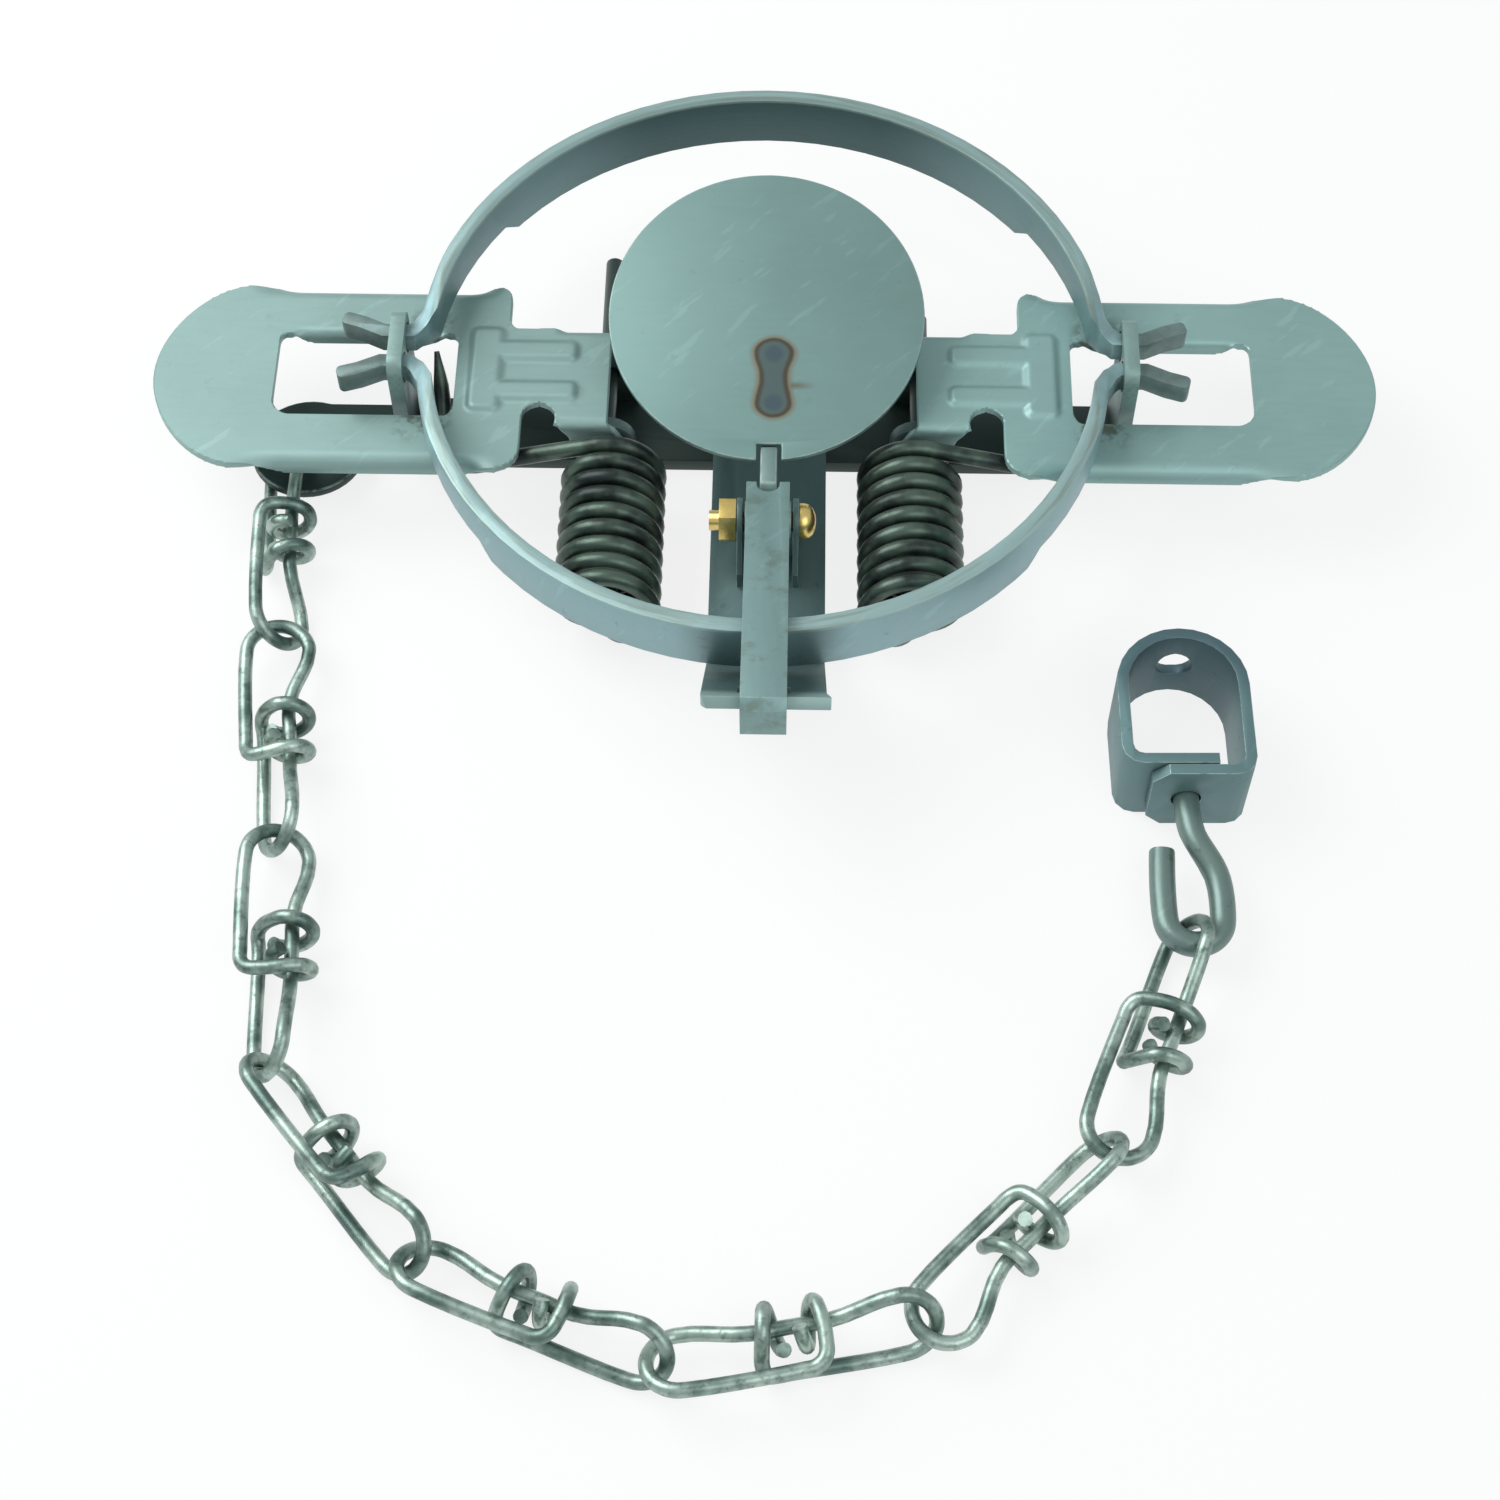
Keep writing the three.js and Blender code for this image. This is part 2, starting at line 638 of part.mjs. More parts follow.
function leverGeometry() {
  const underside = leverTopHeight - leverThickness - pinHeight;
  const overlap = leverThickness / 2;
  let lever = leverPlate();
  for (const end of [-1, 1]) {
    const earY = end * (leverNeckHalfWidth - leverThickness / 2);
    const ear = frontSolid(polygon([
      [-leverEarRadius * 0.6, 0], [leverEarRadius, 0], [leverEarRadius * 1.6, underside + overlap],
      [leverNeckEnd - pinReach, underside + overlap],
    ]), leverThickness, earY);
    const round = rod(leverEarRadius, leverThickness, 'y', 0, earY, 0, 24);
    const flangeLength = leverTipStart - leverFlangeStart;
    const flange = block(flangeLength, leverThickness, leverFlangeDepth,
      leverFlangeStart + flangeLength / 2 - pinReach, end * (leverHalfWidth - leverThickness / 2),
      underside + leverThickness - leverFlangeDepth / 2 - overlap / 2);
    lever = join(lever, ear, round, flange);
  }
  const pinHole = rod(pinRadius + pieceGap, 2 * (leverNeckHalfWidth + cutOverrun), 'y', 0, 0, 0);
  return toGeometry(cut(lever, pinHole));
}

// Springs: a leg under the lever, close curls round the pin, and a tail back through them into the ear

function springPoints(hooked) {
  const points = [];
  const leaving = 90 + springLegSlope;
  const tailAngle = -90;
  const tailRadius = springTailRadius;
  const turnIn = springTailTurn;
  const finish = tailAngle + turnIn;
  const sweep = leaving - finish + 360 * springTurns;
  const stepAngle = 360 / springCurlSteps;
  const at = (radius, angle, y) => new THREE.Vector3(
    radius * Math.cos(angle * degree), y, radius * Math.sin(angle * degree));
  const legStart = at(springRadius, leaving, -springStart);
  const legDirection = new THREE.Vector3(-Math.cos(springLegSlope * degree), 0, -Math.sin(springLegSlope * degree));
  const legAt = (distance) => legStart.clone().addScaledVector(legDirection, distance);
  if (hooked) {
    const bend = legAt(springLegReach - springWire);
    for (const [rearward, upward] of springHookShares) {
      points.push(new THREE.Vector3(bend.x - springWire * (rearward > 1 ? 1.5 : 1.2),
        -springStart + springWire * rearward, bend.z + springWire * (upward - 0.3)));
    }
  }
  const reach = hooked ? springLegReach - springWire : springLegReach;
  for (const share of [1, 2 / 3, 1 / 3, 0.06]) points.push(legAt(reach * share));
  const turnsDone = Math.floor(sweep / stepAngle);
  for (let i = 0; i <= turnsDone; i += 1) {
    points.push(at(springRadius, leaving - i * stepAngle, -springStart - springPitch * i / springCurlSteps));
  }
  const coilEnd = -springStart - springPitch * sweep / 360;
  points.push(at(springRadius, finish, coilEnd));
  const inShares = [[0.3, 0.93, 0.35], [0.55, 0.62, 0.62], [0.78, 0.25, 0.62], [0.95, 0.02, 0.3]];
  for (const [turnShare, radiusShare, frontShare] of inShares) {
    const radius = tailRadius + (springRadius - tailRadius) * radiusShare;
    points.push(at(radius, finish - turnIn * turnShare, coilEnd - springWire * frontShare));
  }
  const tailTurnOut = -springStart + springWire * 0.6;
  points.push(at(tailRadius, tailAngle, coilEnd + springWire * 0.4));
  points.push(at(tailRadius, tailAngle, coilEnd + springWire * 1.5));
  points.push(at(tailRadius, tailAngle, (coilEnd + tailTurnOut) / 2));
  points.push(at(tailRadius, tailAngle, tailTurnOut - springWire * 0.7));
  points.push(at(tailRadius + (springTailDrop - tailRadius) * 0.2, tailAngle, tailTurnOut - springWire * 0.05));
  points.push(at(tailRadius + (springTailDrop - tailRadius) * 0.8, tailAngle, tailTurnOut + springWire * 0.1));
  points.push(at(springTailDrop, tailAngle, tailTurnOut + springWire * 0.8));
  points.push(at(springTailDrop, tailAngle, -earInner + earStep / 2));
  return points;
}

function springGeometry(hooked, name) {
  const points = springPoints(hooked);
  const gap = ownGap(points, springWire);
  console.log(`${name}: least gap to itself ${gap.toFixed(2)} mm`);
  if (gap <= leastWireGap) console.log(`${name} is wound too close`);
  return wireGeometry(points, springWire / 2, springSides);
}

// Pan: a round plate welded on a shank, with a barrel on the bolt and a catch for the dog

const panSlope = panTilt * degree;
const panUp = new THREE.Vector2(-Math.sin(panSlope), Math.cos(panSlope));
const panBack = new THREE.Vector2(Math.cos(panSlope), Math.sin(panSlope));
const panCentre = new THREE.Vector2(panCentreReach, panCentreHeight);

function panDisc() {
  const disc = rod(panRadius, panThickness, 'z', 0, 0, -panThickness / 2, 56);
  const notch = block(panNotchWidth, panNotchDepth + cutOverrun, panThickness + 2 * cutOverrun,
    panOffset, -panRadius + (panNotchDepth - cutOverrun) / 2, -panThickness / 2);
  return toGeometry(cut(disc, notch));
}

function panShank() {
  const under = panThickness + seatGap;
  const onDisc = (along, down) => {
    const point = panCentre.clone().addScaledVector(panBack, along).addScaledVector(panUp, -down);
    return [point.x, point.y];
  };
  const front = -panRadius + panNotchDepth - pieceGap;
  const noseTop = panCentre.clone().addScaledVector(panBack, front).y;
  const web = shankWidth;
  const shape = polygon([
    onDisc(-panRadius / 3, under), onDisc(front, under), onDisc(front, 0),
    [-catchReach + web / 2, noseTop - panThickness / 3], [-catchReach, noseTop - catchDepth / 2],
    [-catchReach + web / 4, noseTop - catchDepth], [-boltReach + shankBarrelRadius / 2, boltHeight + web],
    [-boltReach, boltHeight + web], [-boltReach, boltHeight], [-boltReach + shankBarrelRadius, boltHeight],
    onDisc(-panRadius / 3, under + web),
  ]);
  const plate = sideSolid(shape, shankWidth);
  const barrelLength = 2 * (panEarSpread - panEarThickness / 2 - pieceGap);
  const barrel = rod(shankBarrelRadius, barrelLength, 'x', 0, -boltReach, boltHeight, 24);
  const bore = rod(boltRadius + pieceGap, barrelLength + 2 * cutOverrun, 'x', 0, -boltReach, boltHeight, 20);
  return toGeometry(cut(join(plate, barrel), bore));
}

const earFace = panEarSpread + panEarThickness / 2 + seatGap;

function boltGeometry() {
  const length = 2 * earFace + nutThickness + seatGap + boltTail;
  const start = earFace;
  const profile = [[0, start - length], [boltRadius, start - length], [boltRadius, start], [boltHeadRadius, start]];
  const domeSteps = 4;
  const skirt = boltHeadHeight / 3;
  for (let i = 0; i < domeSteps; i += 1) {
    const angle = quarterTurn * i / domeSteps;
    profile.push([boltHeadRadius * Math.cos(angle), start + skirt + (boltHeadHeight - skirt) * Math.sin(angle)]);
  }
  profile.push([0, start + boltHeadHeight]);
  const lathe = new THREE.LatheGeometry(profile.map(([r, z]) => new THREE.Vector2(r, z)), 18);
  const body = toSolid(lathe.rotateZ(-quarterTurn).translate(0, -boltReach, boltHeight));
  const driverSlot = block(boltHeadHeight / 3, 2 * boltHeadRadius, boltHeadHeight / 4,
    start + boltHeadHeight, -boltReach, boltHeight);
  return toGeometry(cut(body, driverSlot));
}

function nutGeometry() {
  const corner = nutAcrossFlats / Math.sqrt(3);
  const shape = new THREE.Shape();
  for (let i = 0; i < 6; i += 1) {
    const angle = i * Math.PI / 3;
    const y = -boltReach + corner * Math.cos(angle);
    const z = boltHeight + corner * Math.sin(angle);
    if (i === 0) shape.moveTo(y, z);
    else shape.lineTo(y, z);
  }
  shape.closePath();
  const centre = -earFace - seatGap - nutThickness / 2;
  const body = sideSolid(shape, nutThickness, centre);
  return toGeometry(cut(body, rod(boltRadius + pieceGap / 2, nutThickness + 2 * cutOverrun, 'x',
    centre, -boltReach, boltHeight, 18)));
}

// Dog: a strip over the front jaw, hooked round the cross bar's lip

function dogGeometry() {
  const jawEdge = new THREE.Vector2(-(jawRadius - jawThickness), jawPivotHeight + jawRise);
  const toEdge = jawEdge.clone().sub(dogPivot);
  const rise = dogHookInner - dogJawGap;
  const slope = Math.asin(rise / toEdge.length()) - toEdge.angle();
  const along = new THREE.Vector2(Math.cos(slope), -Math.sin(slope));
  const above = new THREE.Vector2(Math.sin(slope), Math.cos(slope));
  const middle = dogHookInner + dogThickness / 2;
  const topAt = (distance) => dogPivot.clone().addScaledVector(above, middle).addScaledVector(along, distance);
  const tipRun = (dogPivotReach - dogEnd - middle * above.x) / along.x;
  const front = -dogPivotReach - middle;
  const cornerRun = (front - topAt(0).x) / along.x;
  const corner = topAt(cornerRun);
  const bottom = dogPivotHeight - middle;
  const line = [
    topAt(tipRun), topAt(cornerRun + dogThickness / 2), corner.clone().add(new THREE.Vector2(0, -dogThickness / 2)),
    new THREE.Vector2(front, bottom + dogThickness / 2), new THREE.Vector2(front + dogThickness / 2, bottom),
    new THREE.Vector2(-dogPivotReach + dogHookTail, bottom),
  ];
  const strip = sideSolid(stripOutline(line, dogThickness), dogWidth);
  const notchHalf = shankWidth / 2 + dogNotchSideGap;
  const notch = rod(notchHalf, 2 * dogThickness + 2 * cutOverrun, 'z', 0, -dogEnd - dogNotchDepth + notchHalf,
    topAt(tipRun).y, 20);
  const mouth = block(2 * notchHalf, 2 * notchHalf, 2 * dogThickness + 2 * cutOverrun,
    0, -dogEnd - dogNotchDepth + 2 * notchHalf, topAt(tipRun).y);
  return toGeometry(cut(strip, notch, mouth));
}

// Chain link: one wire, a loop at each end, whose outer sides pass the waist and wrap back round it

function linkPoints(number) {
  const points = [];
  const half = linkHalfWidth;
  const reach = (linkPitch + linkWire + linkPlay) / 2;
  const wrap = (linkWire + knotGap) / Math.cos(knotTurn / knotSteps / 2 * degree);
  const waist = linkHalfWidth * linkWaistShares[number];
  const inner = linkInnerSides[number];
  const loop = (roll, sign) => {
    const wire = [];
    const lean = new THREE.Vector2(Math.cos(roll * degree), Math.sin(roll * degree)).multiplyScalar(inner);
    const over = new THREE.Vector2(-Math.sin(roll * degree), Math.cos(roll * degree));
    const push = (along, side, up, shift = 0) => wire.push(new THREE.Vector3(
      sign * along, lean.x * side + over.x * up + waist * shift, lean.y * side + over.y * up));
    for (let i = 0; i <= knotSteps; i += 1) {
      const share = i / knotSteps;
      const angle = knotTurn * (1 - share) * degree;
      push(knotPitch * (1 - share) - knotHalfLength, wrap * Math.sin(angle), wrap * Math.cos(angle), 1);
    }
    for (const [back, out, up, shift] of knotLeadShares) push(-knotHalfLength * back, -half * out, wrap * up, shift);
    for (let i = 0; i <= linkArcSteps; i += 1) {
      const angle = Math.PI * i / linkArcSteps;
      push(reach - half + half * Math.sin(angle), -half * Math.cos(angle), 0);
    }
    return wire;
  };
  points.push(...loop(linkStartAngles[number], -1));
  for (const along of [-waistHalfLength, 0, waistHalfLength]) points.push(new THREE.Vector3(along, waist, 0));
  points.push(...loop(linkEndAngles[number], 1).reverse());
  return points;
}

// Swivel: a hooked eye whose head turns inside a lapped strap

function eyeGeometry() {
  const bend = eyeBendRadius;
  const back = -(linkWire + eyeWire) / 2 - eyePlay;
  const centre = back + bend;
  const rise = strapHeight / 2 - linkHeight;
  const headAt = strapFront + 2 * strapThickness + 2 * pieceGap;
  const points = [
    new THREE.Vector3(centre + eyeProngLength, bend * 0.9, 0),
    new THREE.Vector3(centre + eyeProngLength / 2, bend, 0),
  ];
  const steps = 8;
  for (let i = 0; i <= steps; i += 1) {
    const angle = quarterTurn + Math.PI * i / steps;
    points.push(new THREE.Vector3(centre + bend * Math.cos(angle), bend * Math.sin(angle), 0));
  }
  points.push(new THREE.Vector3(eyeNeckStart, -bend, rise / 4));
  points.push(new THREE.Vector3((eyeNeckStart + eyeNeckEnd) / 2, -bend / 2, rise * 0.7));
  points.push(new THREE.Vector3(eyeNeckEnd, 0, rise));
  points.push(new THREE.Vector3((eyeNeckEnd + headAt) / 2, 0, rise));
  points.push(new THREE.Vector3(headAt + eyeHeadThickness / 2, 0, rise));
  const wire = toSolid(wireGeometry(points, eyeWire / 2, 12));
  const head = rod(eyeHeadRadius, eyeHeadThickness, 'x', headAt + eyeHeadThickness / 2, 0, rise, 20);
  return toGeometry(join(wire, head));
}

function strapGeometry() {
  const half = (strapWidth - strapThickness) / 2;
  const lap = strapThickness + pieceGap;
  const outerFront = strapFront + strapThickness / 2;
  const innerFront = outerFront + lap;
  const arcCentre = strapFront + strapLength - strapWidth / 2;
  const line = [new THREE.Vector2(innerFront, -half + 2 * strapCorner)];
  const cornerSteps = 3;
  const addCorner = (x, y, from, to) => {
    for (let i = 0; i <= cornerSteps; i += 1) {
      const angle = from + (to - from) * i / cornerSteps;
      line.push(new THREE.Vector2(x + strapCorner * Math.cos(angle), y + strapCorner * Math.sin(angle)));
    }
  };
  addCorner(innerFront + strapCorner, half - strapCorner, Math.PI, quarterTurn);
  const arcSteps = 14;
  for (let i = 0; i <= arcSteps; i += 1) {
    const angle = quarterTurn - Math.PI * i / arcSteps;
    line.push(new THREE.Vector2(arcCentre + half * Math.cos(angle), half * Math.sin(angle)));
  }
  addCorner(outerFront + strapCorner, -half + strapCorner, -quarterTurn, -Math.PI);
  line.push(new THREE.Vector2(outerFront, strapLapReach));
  const band = flatSolid(stripOutline(line.reverse(), strapThickness), strapHeight);
  const cutters = [
    rod(eyeWire / 2 + pieceGap, 3 * lap + cutOverrun, 'x', strapFront + lap, 0, strapHeight / 2, 20),
    rod(strapHoleRadius, strapThickness + 3 * cutOverrun, 'x', strapFront + strapLength, 0, strapHeight / 2, 20),
  ];
  const depth = strapThickness + pieceGap;
  for (const end of [0, 1]) {
    const corner = polygon([
      [strapLapReach - strapLapChamfer, end * strapHeight + (end ? 1 : -1) * cutOverrun / 2],
      [strapLapReach + cutOverrun, end * strapHeight + (end ? 1 : -1) * cutOverrun / 2],
      [strapLapReach + cutOverrun, end * strapHeight - (end ? 1 : -1) * (strapLapChamfer + cutOverrun / 2)],
    ]);
    cutters.push(sideSolid(corner, depth, strapFront + strapThickness / 2 - pieceGap / 2));
  }
  return toGeometry(cut(band, ...cutters));
}

// Assembly

place(trap, 'base_bar', baseBar(), steelPale);
const crossGroup = new THREE.Group();
crossGroup.position.x = crossOffset;
trap.add(crossGroup);
place(crossGroup, 'cross_bar', crossBar(), steelPale);
place(trap, 'chain_lug', chainLug(), steelDark);
for (const [name, side] of [['left', -1], ['right', 1]]) {
  place(crossGroup, `frame_rivet_${name}`, rivetGeometry(crossTop), steelDark).position.x = side * frameRivetSpread;
}
place(trap, 'lug_rivet', rivetGeometry(lugTop), steelDark).position.x = -lugRivetReach;

const rearJaw = place(trap, 'rear_jaw', jawGeometry(), steelPale);
rearJaw.position.z = jawPivotHeight;
const frontJaw = place(trap, 'front_jaw', jawGeometry(), steelPale);
frontJaw.position.z = jawPivotHeight;
frontJaw.rotation.z = Math.PI;

for (const [name, side] of [['left', -1], ['right', 1]]) {
  const station = new THREE.Group();
  station.position.set(side * pinReach, 0, pinHeight);
  trap.add(station);
  const lever = leverGeometry();
  place(station, `${name}_lever`, side > 0 ? lever : mirroredAcrossX(lever), steelPale);
  const tail = side > 0 ? rightPinTail : leftPinTail;
  const pinLength = tail + pinFront;
  const pin = new THREE.CylinderGeometry(pinRadius, pinRadius, pinLength, 16).translate(0, (tail - pinFront) / 2, 0);
  place(station, `${name}_lever_pin`, toGeometry(toSolid(pin)), steelDark);
  const spring = springGeometry(side < 0, `${name}_spring`);
  place(station, `${name}_spring`, side > 0 ? mirroredAcrossX(spring) : spring, springSteel)
    .position.x = -side * springInset;
}

const pan = place(crossGroup, 'pan_disc', panDisc(), steelPale);
pan.position.set(-panOffset, panCentre.x, panCentre.y);
pan.rotation.x = panSlope;
place(crossGroup, 'pan_shank', panShank(), steelPale);
place(crossGroup, 'pan_bolt', boltGeometry(), brass);
place(crossGroup, 'pan_nut', nutGeometry(), brass);
place(crossGroup, 'dog', dogGeometry(), steelPale);

const joint = new THREE.Vector3(-lugHoleReach, -lugHoleOffset, linkHeight);
const startInset = linkWire + linkPlay;
joint.add(new THREE.Vector3(Math.cos(linkHeadingAngles[0] * degree), Math.sin(linkHeadingAngles[0] * degree), 0)
  .multiplyScalar(startInset - linkWire / 2));
linkHeadingAngles.forEach((heading, i) => {
  const direction = new THREE.Vector3(Math.cos(heading * degree), Math.sin(heading * degree), 0);
  const points = linkPoints(i);
  console.log(`chain_link_${i + 1}: least gap to itself ${ownGap(points, linkWire).toFixed(2)} mm,`
    + ` joint ${joint.x.toFixed(2)} ${joint.y.toFixed(2)}`);
  const link = place(trap, `chain_link_${i + 1}`, wireGeometry(points, linkWire / 2, linkSides), chainSteel);
  link.position.copy(joint).addScaledVector(direction, (linkPitch - startInset) / 2);
  link.rotation.z = heading * degree;
  joint.addScaledVector(direction, linkPitch);
});
console.log(`swivel joint ${joint.x.toFixed(2)} ${joint.y.toFixed(2)}`);

const swivel = new THREE.Group();
swivel.position.copy(joint);
swivel.rotation.z = swivelHeading * degree;
trap.add(swivel);
place(swivel, 'swivel_eye', eyeGeometry(), steelDark);
place(swivel, 'swivel_strap', strapGeometry(), steelPale).position.z = -linkHeight;

export default trap;
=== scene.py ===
import math
import bpy
from mathutils import Matrix, Vector


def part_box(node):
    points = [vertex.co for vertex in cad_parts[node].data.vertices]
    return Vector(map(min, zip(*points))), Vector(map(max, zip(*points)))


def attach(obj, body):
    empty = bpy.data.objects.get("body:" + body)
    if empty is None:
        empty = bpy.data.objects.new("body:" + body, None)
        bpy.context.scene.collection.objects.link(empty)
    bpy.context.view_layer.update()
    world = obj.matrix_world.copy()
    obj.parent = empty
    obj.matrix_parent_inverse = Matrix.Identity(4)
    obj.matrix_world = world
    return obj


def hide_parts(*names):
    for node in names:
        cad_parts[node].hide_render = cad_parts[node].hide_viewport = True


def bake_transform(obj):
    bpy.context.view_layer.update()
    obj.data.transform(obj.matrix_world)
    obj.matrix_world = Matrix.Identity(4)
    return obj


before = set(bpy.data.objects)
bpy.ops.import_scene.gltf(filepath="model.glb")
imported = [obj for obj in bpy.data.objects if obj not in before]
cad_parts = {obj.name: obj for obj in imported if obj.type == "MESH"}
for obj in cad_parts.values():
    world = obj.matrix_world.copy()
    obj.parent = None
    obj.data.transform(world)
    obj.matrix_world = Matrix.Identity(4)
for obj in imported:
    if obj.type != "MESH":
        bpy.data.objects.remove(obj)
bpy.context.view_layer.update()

# Camera: it stands in front of the trap and looks down on it, a little turned and a little rolled.
# Sizes in this file are in millimetres until mm turns them into Blender's metres.
mm = 0.001
camera_down, camera_turn, camera_roll = math.radians(58.40), math.radians(-1.389), math.radians(-0.359)
ahead = Vector((math.sin(camera_turn) * math.cos(camera_down), math.cos(camera_turn) * math.cos(camera_down),
                -math.sin(camera_down)))
level = Vector((math.cos(camera_turn), -math.sin(camera_turn), 0))
upright = level.cross(ahead)
sideways = math.cos(camera_roll) * level + math.sin(camera_roll) * upright
upwards = math.cos(camera_roll) * upright - math.sin(camera_roll) * level
camera = bpy.data.objects.new("camera", bpy.data.cameras.new("camera"))
bpy.context.scene.collection.objects.link(camera)
camera.data.sensor_width = 36
camera.data.lens = 67.66
camera.data.clip_start = 0.01
camera.location = Vector((5.74, -366.85, 471.99)) * mm
camera.rotation_euler = Matrix((sideways, upwards, -ahead)).transposed().to_euler()
bpy.context.scene.camera = camera
bpy.context.scene.view_settings.view_transform = "Standard"

# Studio: a pale table and two soft boxes, the larger one over the left lever, as the brighter
# left side of the trap shows. What the steel mirrors is the same pale room that the camera sees.


class Reading:
    """One output of a shader node. Sums written on it add Math nodes."""

    def __init__(self, finish, socket):
        self.finish, self.socket = finish, socket

    def sum(self, operation, *terms):
        return self.finish.add("ShaderNodeMath", {"operation": operation}, dict(enumerate(terms)))

    def __add__(self, other):
        return self.sum("ADD", self, other)

    def __sub__(self, other):
        return self.sum("SUBTRACT", self, other)

    def __rsub__(self, other):
        return self.sum("SUBTRACT", other, self)

    def __mul__(self, other):
        return self.sum("MULTIPLY", self, other)

    def __abs__(self):
        return self.sum("ABSOLUTE", self)

    __radd__ = __add__
    __rmul__ = __mul__

    def least(self, other):
        return self.sum("MINIMUM", self, other)

    def most(self, other):
        return self.sum("MAXIMUM", self, other)

    def fade(self, start, end):
        """0 at start and 1 at end, with a soft change between them"""
        return self.finish.add("ShaderNodeMapRange", {"interpolation_type": "SMOOTHSTEP"},
                               {0: self, 1: start, 2: end, 3: 0.0, 4: 1.0})


class Finish:
    """The node material of one of the trap's surfaces"""

    def __init__(self, name, metallic=0.0, roughness=0.5):
        self.material = bpy.data.materials.new(name)
        self.material.use_nodes = True
        self.tree = self.material.node_tree
        self.surface = next(node for node in self.tree.nodes if node.type == "BSDF_PRINCIPLED")
        self.output = next(node for node in self.tree.nodes if node.type == "OUTPUT_MATERIAL")
        self.surface.inputs["Metallic"].default_value = metallic
        self.surface.inputs["Roughness"].default_value = roughness

    def put(self, socket, value):
        if isinstance(value, Reading):
            self.tree.links.new(value.socket, socket)
        else:
            socket.default_value = value

    def add(self, kind, settings=None, inputs=None, output=0):
        node = self.tree.nodes.new(kind)
        for name, value in (settings or {}).items():
            setattr(node, name, value)
        for key, value in (inputs or {}).items():
            self.put(node.inputs[key], value)
        return Reading(self, node.outputs[output])

    def over(self, below, above, mask):
        """One colour laid over another where the mask is 1"""
        return self.add("ShaderNodeMix", {"data_type": "RGBA"}, {0: mask, 6: below, 7: above}, 2)

    def place(self, centre=(0, 0, 0), turned=(0, 0, 0), stretch=(1, 1, 1)):
        """Where a point of the piece is, in metres from a centre and along turned axes"""
        here = self.add("ShaderNodeTexCoord", output="Object")
        return self.add("ShaderNodeMapping", {"vector_type": "TEXTURE"},
                        {"Vector": here, "Location": [v * mm for v in centre], "Rotation": turned, "Scale": stretch})

    def axes(self, place):
        """The three numbers of a place, in millimetres"""
        parts = self.add("ShaderNodeSeparateXYZ", inputs={0: place})
        return [Reading(self, parts.socket.node.outputs[i]) * (1 / mm) for i in range(3)]

    def noise(self, place, size, detail=3.0, rough=0.55):
        """Cloudy noise whose patches are about one size across, in millimetres"""
        return self.add("ShaderNodeTexNoise", {"noise_dimensions": "3D"},
                        {"Vector": place, "Scale": 1 / (size * mm), "Detail": detail, "Roughness": rough})

    def dress(self, colour, roughness, height=None, depth=0.0):
        """Joins the worked-out colour, roughness and relief to the surface"""
        self.put(self.surface.inputs["Base Color"], colour)
        self.put(self.surface.inputs["Roughness"], roughness)
        if height is not None:
            bump = self.add("ShaderNodeBump", inputs={"Strength": 1.0, "Distance": depth * mm, "Height": height})
            self.put(self.surface.inputs["Normal"], bump)
        return self


def tone(red, green, blue):
    """A colour as it looks on a screen, 0 to 255, as Blender's linear colour"""
    return [*((v / 255 / 12.92) if v <= 10 else ((v / 255 + 0.055) / 1.055) ** 2.4 for v in (red, green, blue)), 1.0]


table_finish = Finish("pale_table", roughness=0.9)
table_finish.put(table_finish.surface.inputs["Base Color"], tone(246, 248, 248))
table_glow = 0.82
path = table_finish.add("ShaderNodeLightPath", output="Is Camera Ray")
glossy = Reading(table_finish, path.socket.node.outputs["Is Glossy Ray"])
through = Reading(table_finish, path.socket.node.outputs["Is Transmission Ray"])
glow = table_finish.add("ShaderNodeEmission", inputs={"Color": (1, 1, 1, 1), "Strength": 1.0})
plain = Reading(table_finish, table_finish.surface.outputs[0])
seen = path.most(glossy).most(through)
mixed = table_finish.add("ShaderNodeMixShader", inputs={0: seen * table_glow, 1: plain, 2: glow})
table_finish.put(table_finish.output.inputs["Surface"], mixed)
bpy.ops.mesh.primitive_plane_add(size=6, location=(0, 0, -0.0002))
table = bpy.context.object
table.name = "table"
table.data.materials.append(table_finish.material)

room = bpy.data.worlds.new("room")
room.use_nodes = True
bpy.context.scene.world = room
room_light = next(node for node in room.node_tree.nodes if node.type == "BACKGROUND")
room_path = room.node_tree.nodes.new("ShaderNodeLightPath")
# The room gives 0.42 of light. It looks lighter than that in the steel, and white to the camera
room_glow = None
for ray, extra in (("Is Glossy Ray", 0.22), ("Is Camera Ray", 0.55)):
    room_sum = room.node_tree.nodes.new("ShaderNodeMath")
    room_sum.operation = "MULTIPLY_ADD"
    room_sum.inputs[1].default_value = extra
    room_sum.inputs[2].default_value = 0.42
    room.node_tree.links.new(room_path.outputs[ray], room_sum.inputs[0])
    if room_glow:
        room.node_tree.links.new(room_glow, room_sum.inputs[2])
    room_glow = room_sum.outputs[0]
room.node_tree.links.new(room_glow, room_light.inputs["Strength"])
room_light.inputs["Color"].default_value = (0.93, 0.98, 1.0, 1)


def soft_box(name, place, size, power):
    """A square lamp, in metres and watts, that faces the trap"""
    lamp = bpy.data.objects.new(name, bpy.data.lights.new(name, "AREA"))
    lamp.data.size = size
    lamp.data.energy = power
    lamp.location = place
    lamp.rotation_euler = (-Vector(place)).to_track_quat("-Z", "Y").to_euler()
    bpy.context.scene.collection.objects.link(lamp)


soft_box("box_left", (-0.50, 0.16, 0.55), 0.6, 4.6)
soft_box("box_front", (0.35, -0.50, 0.70), 0.6, 1.8)

# Base bar: one pressed steel strip, turned up at both ends as the posts that the jaws pass through.
# Four ears rise from its sides for the lever pins. It sits in the trap's own shade and is darker.


